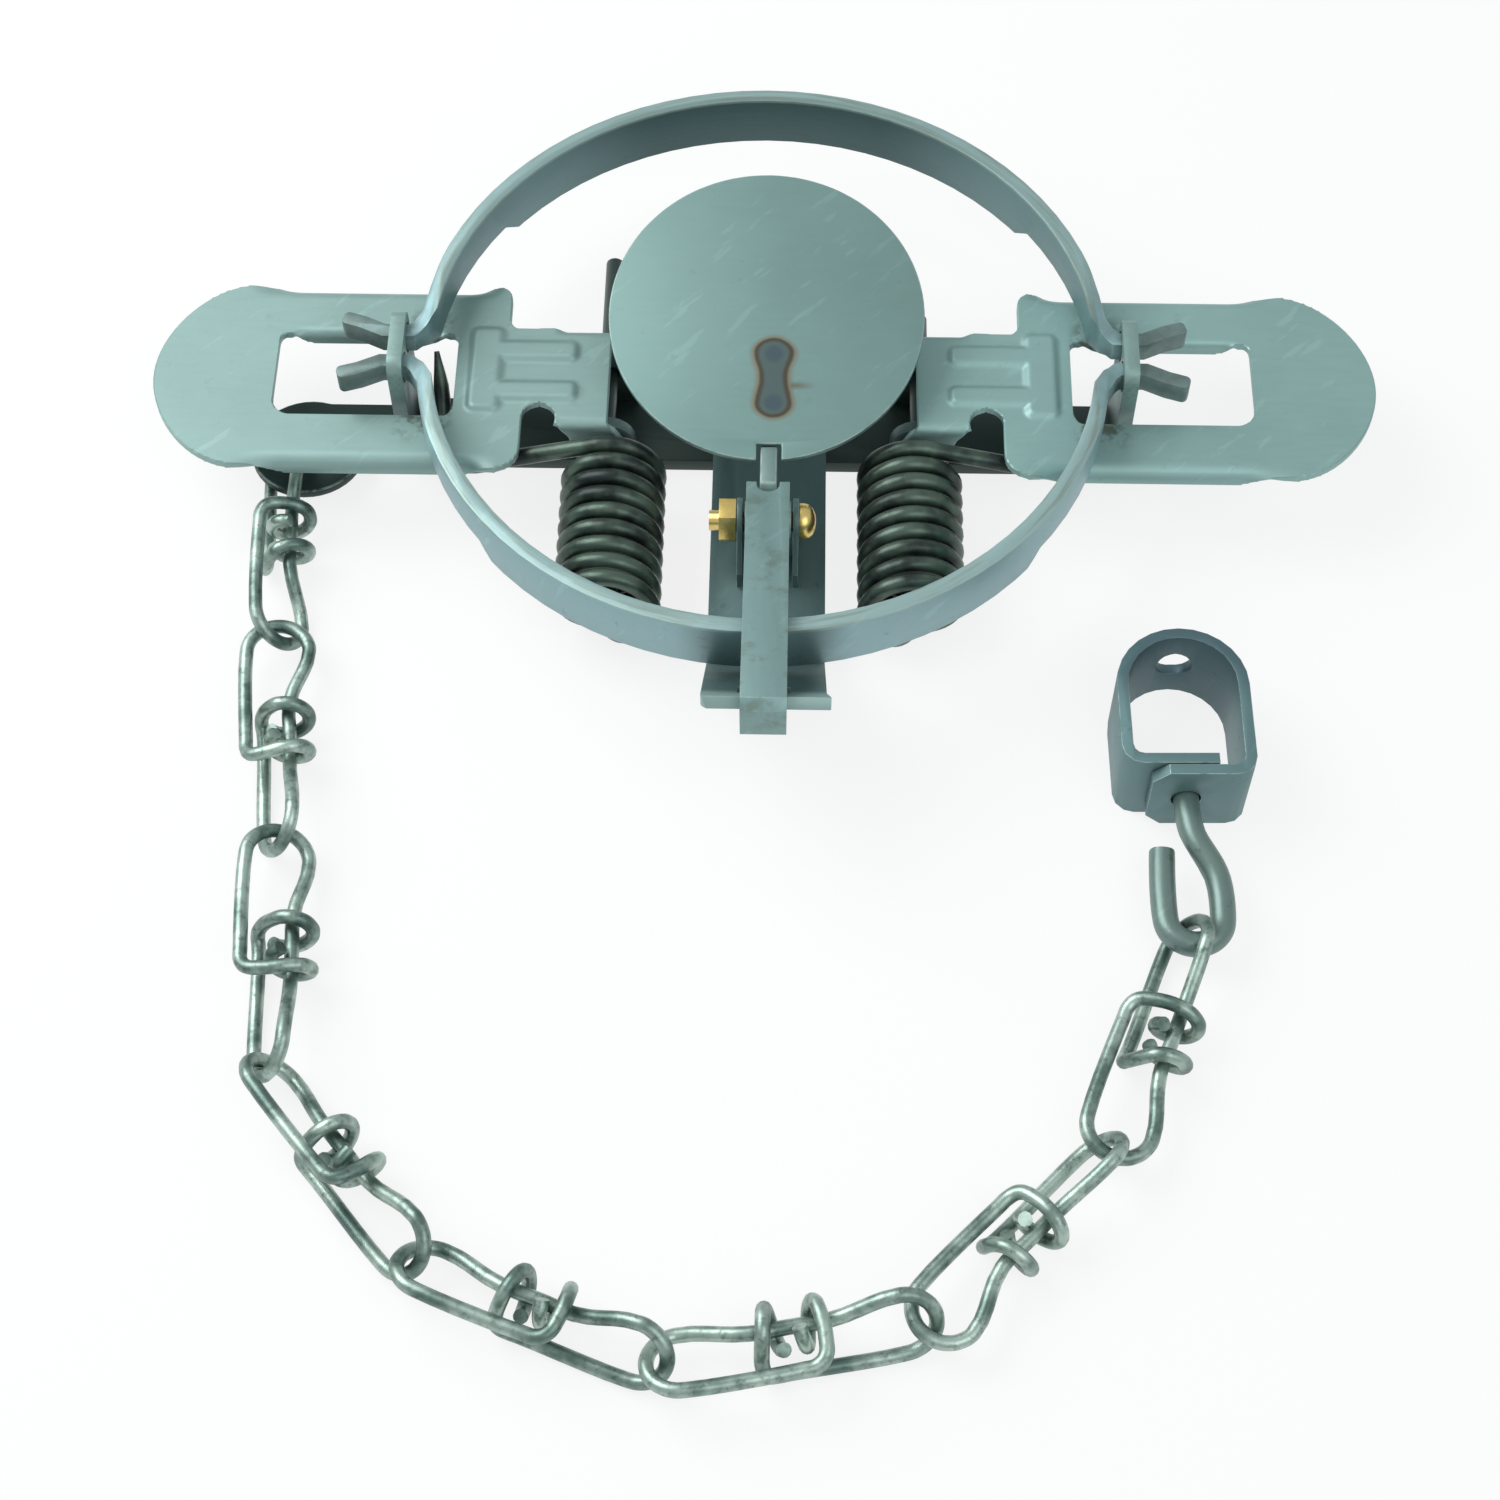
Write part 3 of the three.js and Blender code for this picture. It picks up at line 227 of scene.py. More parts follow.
def only(piece):
    """Makes a piece the one that operators work on"""
    if bpy.context.object and bpy.context.object.mode != "OBJECT":
        bpy.ops.object.mode_set(mode="OBJECT")
    bpy.ops.object.select_all(action="DESELECT")
    piece.select_set(True)
    bpy.context.view_layer.objects.active = piece


def shaped_by(piece, kind, **settings):
    """Adds a modifier and applies it"""
    only(piece)
    modifier = piece.modifiers.new(kind.lower(), kind)
    for name, value in settings.items():
        setattr(modifier, name, value)
    bpy.ops.object.modifier_apply(modifier=modifier.name)


def eased(piece, edge, angle=35, segments=2):
    """Rounds a piece's sharp edges a little, notes the rounded faces, which the steel finishes paint lighter, and
    shades it smooth
    """
    if edge:
        piece.data.materials.clear()
        for _ in range(2):
            piece.data.materials.append(None)
        shaped_by(piece, "BEVEL", width=edge * mm, segments=segments, limit_method="ANGLE",
                  angle_limit=math.radians(angle), harden_normals=False, material=1)
        rounded_rim = piece.data.attributes.new("rounded_rim", "FLOAT", "FACE")
        rounded_rim.data.foreach_set("value", [float(polygon.material_index == 1) for polygon in piece.data.polygons])
        piece.data.polygons.foreach_set("material_index", [0] * len(piece.data.polygons))
    only(piece)
    bpy.ops.object.shade_smooth_by_angle(angle=math.radians(angle))


def copied(node, name):
    """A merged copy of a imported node's mesh, with its flat faces made whole again"""
    piece = bpy.data.objects.new(name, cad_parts[node].data.copy())
    bpy.context.scene.collection.objects.link(piece)
    only(piece)
    bpy.ops.mesh.customdata_custom_splitnormals_clear()
    bpy.ops.object.mode_set(mode="EDIT")
    bpy.ops.mesh.select_all(action="SELECT")
    bpy.ops.mesh.remove_doubles(threshold=0.00001)
    bpy.ops.mesh.dissolve_limited(angle_limit=math.radians(1.5))
    bpy.ops.object.mode_set(mode="OBJECT")
    return piece


def fitted(piece, body, finish, slot, *nodes):
    """Gives a piece its finish and its place on the trap"""
    piece.data.materials.clear()
    piece.data.materials.append(finish.material)
    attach(piece, body)
    if nodes:
        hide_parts(*nodes)
    return piece


def rolled_steel(name, colour, along=(8, 1, 1), metallic=0.55, roughness=0.46, soot=0.25, bright=0.5):
    """Oiled mild steel: cloudy grey-green with rolling marks, dark specks and scuffs, lighter on its rounded edges,
    partly as wear and partly as a painted highlight
    """
    finish = Finish(name, metallic)
    here = finish.place()
    cloud = finish.noise(here, 26)
    drawn = finish.noise(finish.place(stretch=along), 1.1, 4.0, 0.6)
    speck = finish.noise(here, 3.2, 5.0, 0.7)
    scuff = finish.noise(finish.place(turned=(0.4, 0.2, 0.9), stretch=(5, 1, 5)), 2.6, 3.0, 0.6)
    deep = [v * 0.80 for v in tone(*colour)[:3]] + [1.0]
    high = [v * 1.16 for v in tone(*colour)[:3]] + [1.0]
    base = finish.over(deep, high, cloud * 0.65 + drawn * 0.35)
    base = finish.over(base, [v * 1.30 for v in tone(*colour)[:3]] + [1.0], scuff.fade(0.60, 0.68) * 0.35)
    finish.grime = speck.fade(0.60, 0.74) * soot
    base = finish.over(base, tone(58, 66, 60), finish.grime)
    # The rounded edges are painted lighter, partly as wear and partly as a painted highlight
    rounded_rim = finish.add("ShaderNodeAttribute", {"attribute_name": "rounded_rim"}, output=2)
    base = finish.over(base, tone(172, 190, 184), rounded_rim * speck.fade(0.62, 0.42) * bright)
    finish.rough = roughness - 0.06 + 0.10 * cloud + 0.10 * drawn + finish.grime * 0.2
    finish.relief = drawn * 0.5 + speck * 0.5
    finish.base = base
    return finish


post_reach, post_window_height = 74, 27.5
bar_finish = rolled_steel("bar_steel", (112, 134, 131), soot=0.4)
bar = copied("base_bar", "base_bar_steel")
eased(bar, 0.35)
fitted(bar, "frame", bar_finish, "steel", "base_bar")
# The patches where the jaws rub in the posts' windows are brown
bar_brown = None
for side in (-1, 1):
    for end in (-1, 1):
        spot = bar_finish.add("ShaderNodeVectorMath", {"operation": "LENGTH"},
                              {0: bar_finish.place((side * post_reach, end * 3.9, post_window_height))}, output=1)
        spot = spot.fade(6.5 * mm, 3.0 * mm)
        bar_brown = spot if bar_brown is None else bar_brown.most(spot)
# Its middle is in the shade of the levers and pan, and the posts stand up into the light
bar_up = bar_finish.axes(bar_finish.place())[2]
bar_colour = bar_finish.over(tone(64, 78, 74), bar_finish.base, bar_up.fade(4, 16))
bar_colour = bar_finish.over(bar_colour, tone(150, 182, 176), bar_up.fade(20, 26) * 0.6)
bar_mottle = bar_finish.noise(bar_finish.place(), 0.9, 5.0, 0.7)
bar_colour = bar_finish.over(bar_colour, tone(98, 94, 76), bar_brown * bar_mottle.fade(0.40, 0.66) * 0.5)
bar_finish.dress(bar_colour, bar_finish.rough, bar_finish.relief, 0.05)

# Lever pins: drawn steel rod, cut off and lightly turned at the ends. Each passes through two base
# ears, two lever ears and its spring.
pin_finish = rolled_steel("pin_steel", (74, 88, 84), along=(1, 8, 1), roughness=0.38)
pin_finish.dress(pin_finish.base, pin_finish.rough, pin_finish.relief, 0.03)
for side, label in ((-1, "left"), (1, "right")):
    low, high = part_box(f"{label}_lever_pin")
    bpy.ops.object.select_all(action="DESELECT")
    bpy.ops.mesh.primitive_cylinder_add(vertices=28, radius=(high[0] - low[0]) / 2, depth=high[1] - low[1],
                                        location=[(a + b) / 2 for a, b in zip(low, high)],
                                        rotation=(math.pi / 2, 0, 0))
    pin = bpy.context.object
    pin.name = f"{label}_pin_rod"
    bpy.ops.object.transform_apply(location=True, rotation=True, scale=True)
    eased(pin, 0.35)
    fitted(pin, "frame", pin_finish, "dark_steel", f"{label}_lever_pin")

# Springs: oil-tempered wire, eight close turns round each pin. A straight leg lifts the lever, and the
# other end runs back through the turns into a hole in the base's front ear.
pin_height, spring_reach, spring_turns = 11.6, 30.1, 8
spring_wire, spring_radius, spring_pitch, spring_start = 3.5, 8.95, 4.1, 17.2
leg_reach, leg_slope, curl_step = 32.2, 15, 45
tail_radius, tail_drop, tail_turn, tail_end = 4.2, 7.7, 78, -8.0


def wire_piece(name, points, thickness, steps=4, sides=5, tip=()):
    """A round wire bent smoothly through a list of points, thinner at its first ones where tip says so"""
    curve = bpy.data.curves.new(name, "CURVE")
    curve.dimensions = "3D"
    curve.resolution_u = steps
    curve.bevel_depth = thickness / 2 * mm
    curve.bevel_resolution = sides
    curve.use_fill_caps = True
    curve.twist_mode = "MINIMUM"
    line = curve.splines.new("BEZIER")
    line.bezier_points.add(len(points) - 1)
    for knot, point in zip(line.bezier_points, points):
        knot.co = Vector(point) * mm
        knot.handle_left_type = knot.handle_right_type = "AUTO"
    for knot, share in zip(line.bezier_points, tip):
        knot.radius = share
    piece = bpy.data.objects.new(name, curve)
    bpy.context.scene.collection.objects.link(piece)
    only(piece)
    bpy.ops.object.convert(target="MESH")
    piece = bpy.context.object
    bpy.ops.object.mode_set(mode="EDIT")
    bpy.ops.mesh.select_all(action="SELECT")
    bpy.ops.mesh.remove_doubles(threshold=0.000005)
    bpy.ops.mesh.normals_make_consistent(inside=False)
    bpy.ops.object.mode_set(mode="OBJECT")
    bpy.ops.object.shade_smooth_by_angle(angle=math.radians(50))
    return piece


def round_pin(radius, degrees, along):
    """A point round a lever pin"""
    turn = math.radians(degrees)
    return Vector((radius * math.cos(turn), along, radius * math.sin(turn)))


def spring_line(hooked):
    """The middle of the wire, from the end of its leg to its tail in the ear"""
    wire, leaving, finish_at = spring_wire, 90 + leg_slope, tail_turn - 90
    wound = leaving - finish_at + 360 * spring_turns
    slope = math.radians(leg_slope)
    leg_start = round_pin(spring_radius, leaving, -spring_start)
    leg_way = Vector((-math.cos(slope), 0, -math.sin(slope)))
    reach = leg_reach - wire if hooked else leg_reach
    points = []
    if hooked:
        bend = leg_start + leg_way * reach
        for outward, rearward, upward in ((1.95, 6.1, 2.9), (1.7, 4.6, 1.6), (1.55, 3.2, 0.45),
                                          (1.5, 1.6, -0.3), (1.2, 0.6, -0.3)):
            points.append(Vector((bend.x - wire * outward, -spring_start + wire * rearward,
                                  bend.z + wire * upward)))
    points += [leg_start + leg_way * reach * share for share in (1, 2 / 3, 1 / 3, 0.06)]
    for i in range(int(wound // curl_step) + 1):
        turned = i * curl_step
        points.append(round_pin(spring_radius, leaving - turned, -spring_start - spring_pitch * turned / 360))
    coil_end = -spring_start - spring_pitch * wound / 360
    points.append(round_pin(spring_radius, finish_at, coil_end))
    for turned, out, front in ((0.3, 0.93, 0.35), (0.55, 0.62, 0.62), (0.78, 0.25, 0.62), (0.95, 0.02, 0.3)):
        radius = tail_radius + (spring_radius - tail_radius) * out
        points.append(round_pin(radius, finish_at - tail_turn * turned, coil_end - wire * front))
    tail_out = -spring_start + wire * 0.6
    points.append(round_pin(tail_radius, -90, coil_end + wire * 0.4))
    points.append(round_pin(tail_radius, -90, coil_end + wire * 1.5))
    points.append(round_pin(tail_radius, -90, (coil_end + tail_out) / 2))
    points.append(round_pin(tail_radius, -90, tail_out - wire * 0.7))
    points.append(round_pin(tail_radius + (tail_drop - tail_radius) * 0.2, -90, tail_out - wire * 0.05))
    points.append(round_pin(tail_radius + (tail_drop - tail_radius) * 0.8, -90, tail_out + wire * 0.1))
    points.append(round_pin(tail_drop, -90, tail_out + wire * 0.8))
    points.append(round_pin(tail_drop, -90, tail_end))
    return points


spring_finish = Finish("tempered_wire", metallic=0.55)
spring_here = spring_finish.place()
spring_cloud = spring_finish.noise(spring_here, 9)
spring_scale = spring_finish.noise(spring_here, 1.4, 5.0, 0.65)
spring_colour = spring_finish.over(tone(36, 47, 45), tone(82, 101, 90), spring_cloud.fade(0.38, 0.66))
spring_colour = spring_finish.over(spring_colour, tone(92, 84, 62), spring_scale.fade(0.52, 0.75) * 0.4)
spring_finish.dress(spring_colour, 0.24 + 0.22 * spring_scale, spring_scale, 0.05)
for side, label in ((-1, "left"), (1, "right")):
    line = [Vector((point.x * -side, point.y, point.z)) for point in spring_line(hooked=side < 0)]
    line = [point + Vector((side * spring_reach, 0, pin_height)) for point in line]
    spring = wire_piece(f"{label}_coil", line, spring_wire, steps=5, tip=(0.3, 0.9) if side < 0 else ())
    spring.data.materials.append(spring_finish.material)
    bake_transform(spring)
    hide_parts(f"{label}_spring")

# Cross bar: a flat steel strip riveted across the base bar, bent upwards in front to the lip that the
# dog hangs on. Two thin ears welded on it carry the pan's bolt.
cross_finish = rolled_steel("cross_bar_steel", (92, 118, 118), along=(1, 8, 3), soot=0.45)
cross = copied("cross_bar", "cross_bar_steel")
eased(cross, 0.3)
fitted(cross, "frame", cross_finish, "steel", "cross_bar")
# The lip is painted lighter towards its top: a painted highlight
lip_highlight = cross_finish.axes(cross_finish.place())[2].fade(31.5, 35.5)
cross_colour = cross_finish.over(cross_finish.base, tone(146, 172, 168), lip_highlight)
cross_finish.dress(cross_colour, cross_finish.rough, cross_finish.relief, 0.05)

# Rivets: soft steel, put through holes in both pieces, with domed heads that a press has closed.
# Two hold the cross bar on the base bar, and one holds the chain lug.
rivet_finish = rolled_steel("rivet_steel", (88, 104, 98), along=(1, 1, 1), roughness=0.36)
rivet_finish.dress(rivet_finish.base, rivet_finish.rough, rivet_finish.relief, 0.04)
for node in ("frame_rivet_left", "frame_rivet_right", "lug_rivet"):
    rivet = copied(node, f"{node}_head")
    eased(rivet, 0.2, angle=50)
    fitted(rivet, "frame", rivet_finish, "dark_steel", node)

# Chain lug: a pressed steel tab with a round end. It leaves the base through the left post's foot, and
# the chain's first link goes through its hole.
# Its steel is painted far darker than the rest: painted shade, for the left lever's shadow over it
lug_finish = rolled_steel("lug_shaded_steel", (48, 66, 62), along=(5, 1, 1), soot=0.5)
lug = copied("chain_lug", "chain_lug_plate")
eased(lug, 0.35)
fitted(lug, "frame", lug_finish, "dark_steel", "chain_lug")
lug_finish.dress(lug_finish.base, lug_finish.rough, lug_finish.relief, 0.06)

# Jaws: two half rounds of flat steel bent on edge, their ends necked to turn in the posts and flared
# outside them. The rear jaw's inner face is in its own shade.
jaw_top, jaw_inside, neck_start, neck_end = 31.2, 68.1, 62, 76


def jaw_finish(name, colour, inner, side):
    """A jaw's steel: streaks along its bend, a painted highlight on its top edge, painted shade on the rear jaw's
    inner face, and plain darker ends outside the posts
    """
    finish = rolled_steel(name, colour, along=(1, 1, 1), roughness=0.40)
    across, along, up = finish.axes(finish.place())
    turn = finish.add("ShaderNodeMath", {"operation": "ARCTAN2"}, {0: along, 1: across})
    reach = finish.add("ShaderNodeMath", {"operation": "SQRT"}, {0: across * across + along * along})
    strip = finish.add("ShaderNodeCombineXYZ", inputs={0: turn * 4.0 * mm, 1: up * mm, 2: reach * mm})
    streak = finish.noise(strip, 1.0, 4.0, 0.6)
    # Painted shade on the rear jaw's inner face, lighter towards its ends
    shade = finish.over(inner, tone(112, 142, 144), abs(across).fade(22, 52)) if side > 0 else inner
    inside = reach.fade(jaw_inside + 0.5, jaw_inside - 0.5) * along.fade(0.0, 6.0)
    colour_now = finish.over(finish.base, shade, inside if side > 0 else 0.0)
    # A painted highlight along the top edge, with a brown stain streaked along it
    top = up.fade(jaw_top - 0.3, jaw_top + 0.3)
    colour_now = finish.over(colour_now, tone(158, 184, 178), top * 0.55)
    colour_now = finish.over(colour_now, tone(122, 120, 98), top * streak.fade(0.48, 0.68) * 0.4)
    ends = abs(across).fade(neck_start, neck_end) * finish.noise(finish.place(), 4.5, 5.0, 0.6).fade(0.30, 0.70)
    colour_now = finish.over(colour_now, tone(96, 112, 104), abs(across).fade(post_reach, post_reach + 3) * 0.65)
    colour_now = finish.over(colour_now, tone(84, 92, 80), ends * 0.5)
    if side < 0:
        beside = abs(abs(across - 1.5) - 9.0).fade(9.0, 0.0)
        colour_now = finish.over(colour_now, tone(78, 92, 92), beside * up.fade(jaw_top + 0.4, jaw_top - 0.6) * 0.55)
    finish.dress(colour_now, finish.rough + streak * 0.06, finish.relief * 0.6 + streak, 0.05)
    return finish


for label, side in (("rear", 1), ("front", -1)):
    jaw = copied(f"{label}_jaw", f"{label}_jaw_strip")
    # The upright corners at the tips of the tongues are ground round
    tip = max(abs(vertex.co.x) for vertex in jaw.data.vertices) - 1.5 * mm
    bpy.context.scene.tool_settings.mesh_select_mode = (False, True, False)
    bpy.ops.object.mode_set(mode="EDIT")
    bpy.ops.mesh.select_all(action="DESELECT")
    bpy.ops.object.mode_set(mode="OBJECT")
    for edge in jaw.data.edges:
        a, b = (jaw.data.vertices[number].co for number in edge.vertices)
        edge.select = min(abs(a.x), abs(b.x)) > tip and abs(a.z - b.z) > 0.8 * (a - b).length
    bpy.ops.object.mode_set(mode="EDIT")
    bpy.ops.mesh.bevel(offset=1.1 * mm, segments=4, affect="EDGES")
    bpy.ops.object.mode_set(mode="OBJECT")
    bpy.context.scene.tool_settings.mesh_select_mode = (True, False, False)
    eased(jaw, 0.45, angle=30)
    inner_shade_tone = tone(70, 96, 97) if side > 0 else tone(120, 142, 140)
    finish = jaw_finish(f"{label}_jaw_steel", (148, 180, 184), inner_shade_tone, side)
    fitted(jaw, f"{label}_jaw", finish, "steel", f"{label}_jaw")

# Levers: each is one steel pressing. Its plate has a window round the post and an E-shaped rib pressed
# up from below, its long edges are rolled down, and its two ears are folded down onto the pin.
lever_top, lever_gauge, lever_bend, edge_bend, lever_worn = 20.6, 1.8, 2.4, 3.1, 0.26
neck_half, lever_half, lever_tip = 12.8, 23.0, 125.0
window_fold, window_bend = 12.2, 1.6
ear_drop = neck_half - lever_bend + math.pi * lever_bend / 2 + (lever_top - pin_height - lever_bend)


def bow(centre, radius, start, end, steps=12):
    """Points of an arc, from one angle in degrees to another"""
    return [(centre[0] + radius * math.cos(math.radians(start + (end - start) * i / steps)),
             centre[1] + radius * math.sin(math.radians(start + (end - start) * i / steps))) for i in range(steps + 1)]


def swing(a, b, c, steps=6):
    """Points of a corner rounded between two lines that meet at b"""
    return [tuple((1 - t) ** 2 * p + 2 * (1 - t) * t * q + t * t * r for p, q, r in zip(a, b, c))
            for t in (i / steps for i in range(steps + 1))]


def sweep(a, b, c, d, steps=18):
    """Points of a curve from a to d that b and c pull on"""
    return [tuple((1 - t) ** 3 * p + 3 * (1 - t) ** 2 * t * q + 3 * (1 - t) * t * t * r + t ** 3 * s
                  for p, q, r, s in zip(a, b, c, d)) for t in (i / steps for i in range(steps + 1))]


def lever_blank():
    """The lever's outline before its edges and ears are folded, half by half"""
    rolled = lever_half + 2.3
    front = [(31.4, -11.6), (29.6, -15.0)]
    front += bow((32.3, -ear_drop), 5.6, 180, 360)
    front += [(39.6, -15.6), (41.2, -13.2), (42.1, -12.0)]
    front += bow((45.5, -10.4), 3.4, 180, 0)
    front += swing((48.9, -18.2), (48.9, -23.2), (55.5, -24.0))
    shoulder = [(96, rolled), (98, 24.7), (100, 24.1), (102.5, 23.6)]
    front += [(60, -rolled), *((x, -y) for x, y in shoulder)]
    front += sweep((106, -23.4), (115.5, -23.4), (lever_tip, -11.5), (lever_tip, 0))
    rear = sweep((lever_tip, 0), (lever_tip, 11.5), (115.5, 23.4), (106, 23.4))[1:]
    rear += [*shoulder[::-1], (60, rolled)]
    rear += swing((55.5, 24.0), (52.5, 23.2), (52.5, 19.8))
    rear += swing((52.5, 15.2), (52.5, 12.6), (50.1, 12.5))
    rear += [(47.6, 12.5), (46.2, 12.8), (41.6, 12.9), (39.6, 15.6)]
    rear += bow((32.3, ear_drop), 5.6, 0, 180)
    rear += [(29.6, 15.0), (31.4, 11.6)]
    window = swing((65.5, -10.6), (63, -10.6), (63, -5.6)) + swing((63, 8.1), (63, 10.6), (65.0, 10.6))
    window += sweep((65.0, 10.6), (67.0, 10.6), (67.0, 7.9), (69.5, 7.9), 10)[1:]
    window += sweep((93.5, 7.9), (96.0, 7.9), (96.0, 10.6), (98.0, 10.6), 10)[:-1]
    window += swing((98.0, 10.6), (100, 10.6), (100, 8.1)) + swing((100, -5.6), (100, -10.6), (95, -10.6))
    holes = [bow((32.3, end * ear_drop), 2.2, 0, 345, 23) for end in (-1, 1)]
    return front + rear, [window, *holes]


def flat_piece(name, outline, holes):
    """A flat shape with holes, made from a filled outline"""
    curve = bpy.data.curves.new(name, "CURVE")
    curve.dimensions = "2D"
    curve.fill_mode = "FRONT"
    for ring in (outline, *holes):
        line = curve.splines.new("POLY")
        line.points.add(len(ring) - 1)
        for knot, (x, y) in zip(line.points, ring):
            knot.co = (x, y, 0, 1)
        line.use_cyclic_u = True
    piece = bpy.data.objects.new(name, curve)
    bpy.context.scene.collection.objects.link(piece)
    only(piece)
    bpy.ops.object.convert(target="MESH")
    return bpy.context.object


def steps_between(low, high, step):
    """Evenly spaced places between two ends, about one step apart"""
    count = max(1, round((high - low) / step))
    return [low + (high - low) * (i + 0.5) / count for i in range(count)]


def ease(value, start, end):
    """0 before start and 1 after end, with a soft change between them"""
    share = min(1.0, max(0.0, (value - start) / (end - start)))
    return share * share * (3 - 2 * share)


def folded(across, x):
    """Where a point of the blank goes once the ears and the long edges are folded down"""
    side, run = (1 if across > 0 else -1), abs(across)
    if 64 < x < 99 and 5 < across < window_fold:
        turn = min((window_fold - across) / window_bend, math.pi / 2)
        past = max(0.0, window_fold - across - window_bend * math.pi / 2)
        share = ease(x, 65.0, 68.5) * (1 - ease(x, 94.5, 98.0))
        bent = window_fold - window_bend * math.sin(turn)
        return across + (bent - across) * share, -(window_bend * (1 - math.cos(turn)) + past) * share
    to_ear = 1 - ease(x, 40.5, 43.5)
    to_edge = ease(x, 53, 62) * (1 - ease(x, 96, 108))
    half, share, bend = (neck_half, to_ear, lever_bend) if x < 47 else (lever_half, to_edge, edge_bend)
    start = half - bend
    if run <= start or share == 0:
        return side * run, 0.0
    turn = min((run - start) / bend, math.pi / 2)
    past = max(0.0, run - start - bend * math.pi / 2)
    bent = start + bend * math.sin(turn)
    fall = bend * (1 - math.cos(turn)) + past
    return side * (run + (bent - run) * share), -fall * share


def rib_height(x, y):
    """How far the E-shaped rib stands above the plate"""
    deepest = 9.0
    for x0, x1, y0, y1 in ((53.6, 60.2, -9.2, 12.2), (38.2, 56.0, 4.0, 8.8), (38.0, 56.0, -6.4, -1.7)):
        corner = 1.6
        dx = abs(x - (x0 + x1) / 2) - (x1 - x0) / 2 + corner
        dy = abs(y - (y0 + y1) / 2) - (y1 - y0) / 2 + corner
        away = math.hypot(max(dx, 0), max(dy, 0)) + min(max(dx, dy), 0) - corner
        deepest = min(deepest, away)
    return 0.85 * (1 - ease(deepest, -0.9, 0.7))


outline, holes = lever_blank()
lever = flat_piece("right_lever_plate", outline, holes)
bpy.ops.object.mode_set(mode="EDIT")
bpy.ops.mesh.select_all(action="SELECT")
bpy.ops.mesh.remove_doubles(threshold=0.001)
bpy.ops.mesh.dissolve_limited(angle_limit=math.radians(1))
bpy.ops.mesh.select_all(action="SELECT")
bpy.ops.mesh.inset(thickness=0.3, depth=0, use_boundary=True, use_even_offset=True)
# It is cut finely where the rib, the rolled edges and the window's edge bend it
cuts = [((x, 0, 0), (1, 0, 0)) for x in (*steps_between(27, 37, 2), *steps_between(37, 62, 0.45),
                                         *steps_between(62, lever_tip, 2))]
cuts += [((0, y, 0), (0, 1, 0)) for y in (*steps_between(-ear_drop - 5, -14.5, 1.5),
                                          *steps_between(-14.5, 14.5, 0.45), *steps_between(14.5, ear_drop + 5, 1.5))]
cuts += [((x, 0, 0), (1, 0, 0)) for x in (*steps_between(62, 70, 1), *steps_between(92, 110, 0.6))]
cuts += [((0, side * y, 0), (0, 1, 0)) for side in (-1, 1) for y in steps_between(19.6, 25.4, 0.5)]
for spot, facing in cuts:
    bpy.ops.mesh.select_all(action="SELECT")
    bpy.ops.mesh.bisect(plane_co=spot, plane_no=facing)
bpy.ops.object.mode_set(mode="OBJECT")


def pressed(x, across):
    """Where a point of the blank ends up on the lever's upper side"""
    y, fall = folded(across, x)
    return Vector((x, y, lever_top + fall + rib_height(x, across)))


faces = [list(polygon.vertices) for polygon in lever.data.polygons]
if sum(polygon.normal.z * polygon.area for polygon in lever.data.polygons) < 0:
    faces = [face[::-1] for face in faces]
edges = {(a, b): None for face in faces for a, b in zip(face, face[1:] + face[:1])}
open_edges = [(a, b) for a, b in edges if (b, a) not in edges]
rim = {vertex for edge in open_edges for vertex in edge}
above, below = [], []
for number, vertex in enumerate(lever.data.vertices):
    x, across = vertex.co.x, vertex.co.y
    spot = pressed(x, across)
    facing = (pressed(x + 0.04, across) - pressed(x - 0.04, across)).cross(
        pressed(x, across + 0.04) - pressed(x, across - 0.04)).normalized()
    rounded_rim = lever_worn if number in rim else 0.0
    above.append((spot - facing * rounded_rim) * mm)
    below.append((spot - facing * (lever_gauge - rounded_rim)) * mm)
count = len(above)
walls = [[b, a, a + count, b + count] for a, b in open_edges]
under = [[vertex + count for vertex in reversed(face)] for face in faces]
plate = bpy.data.meshes.new("lever_plate")
plate.from_pydata(above + below, [], faces + under + walls)
plate.update()
lever.data = plate
only(lever)
bpy.ops.object.shade_smooth_by_angle(angle=math.radians(28))
lever.select_set(True)
bpy.ops.object.duplicate()
twin = bpy.context.object
twin.name = "left_lever_plate"
twin.data.transform(Matrix.Scale(-1, 4, (1, 0, 0)))
twin.data.flip_normals()
# The two levers are one steel; their colours differ a little only to match how lit each one looks: painted light
for piece, label, colour in ((lever, "right", (146, 180, 176)), (twin, "left", (143, 172, 168))):
    finish = rolled_steel(f"{label}_lever_steel", colour, along=(6, 1, 1), roughness=0.44, soot=0.12)
    across, along, up = finish.axes(finish.place())
    rub = abs(across).fade(62, 66) * abs(across).fade(76, 71) * abs(along).fade(19, 12) * up.fade(18, 19.5)
    rub = rub * finish.noise(finish.place(), 2.4, 4.0).fade(0.42, 0.6)
    colour_now = finish.over(finish.base, tone(86, 88, 72), rub * 0.8)
    finish.dress(colour_now, finish.rough + rub * 0.2, finish.relief, 0.04)
    fitted(piece, f"{label}_lever", finish, "steel", f"{label}_lever")

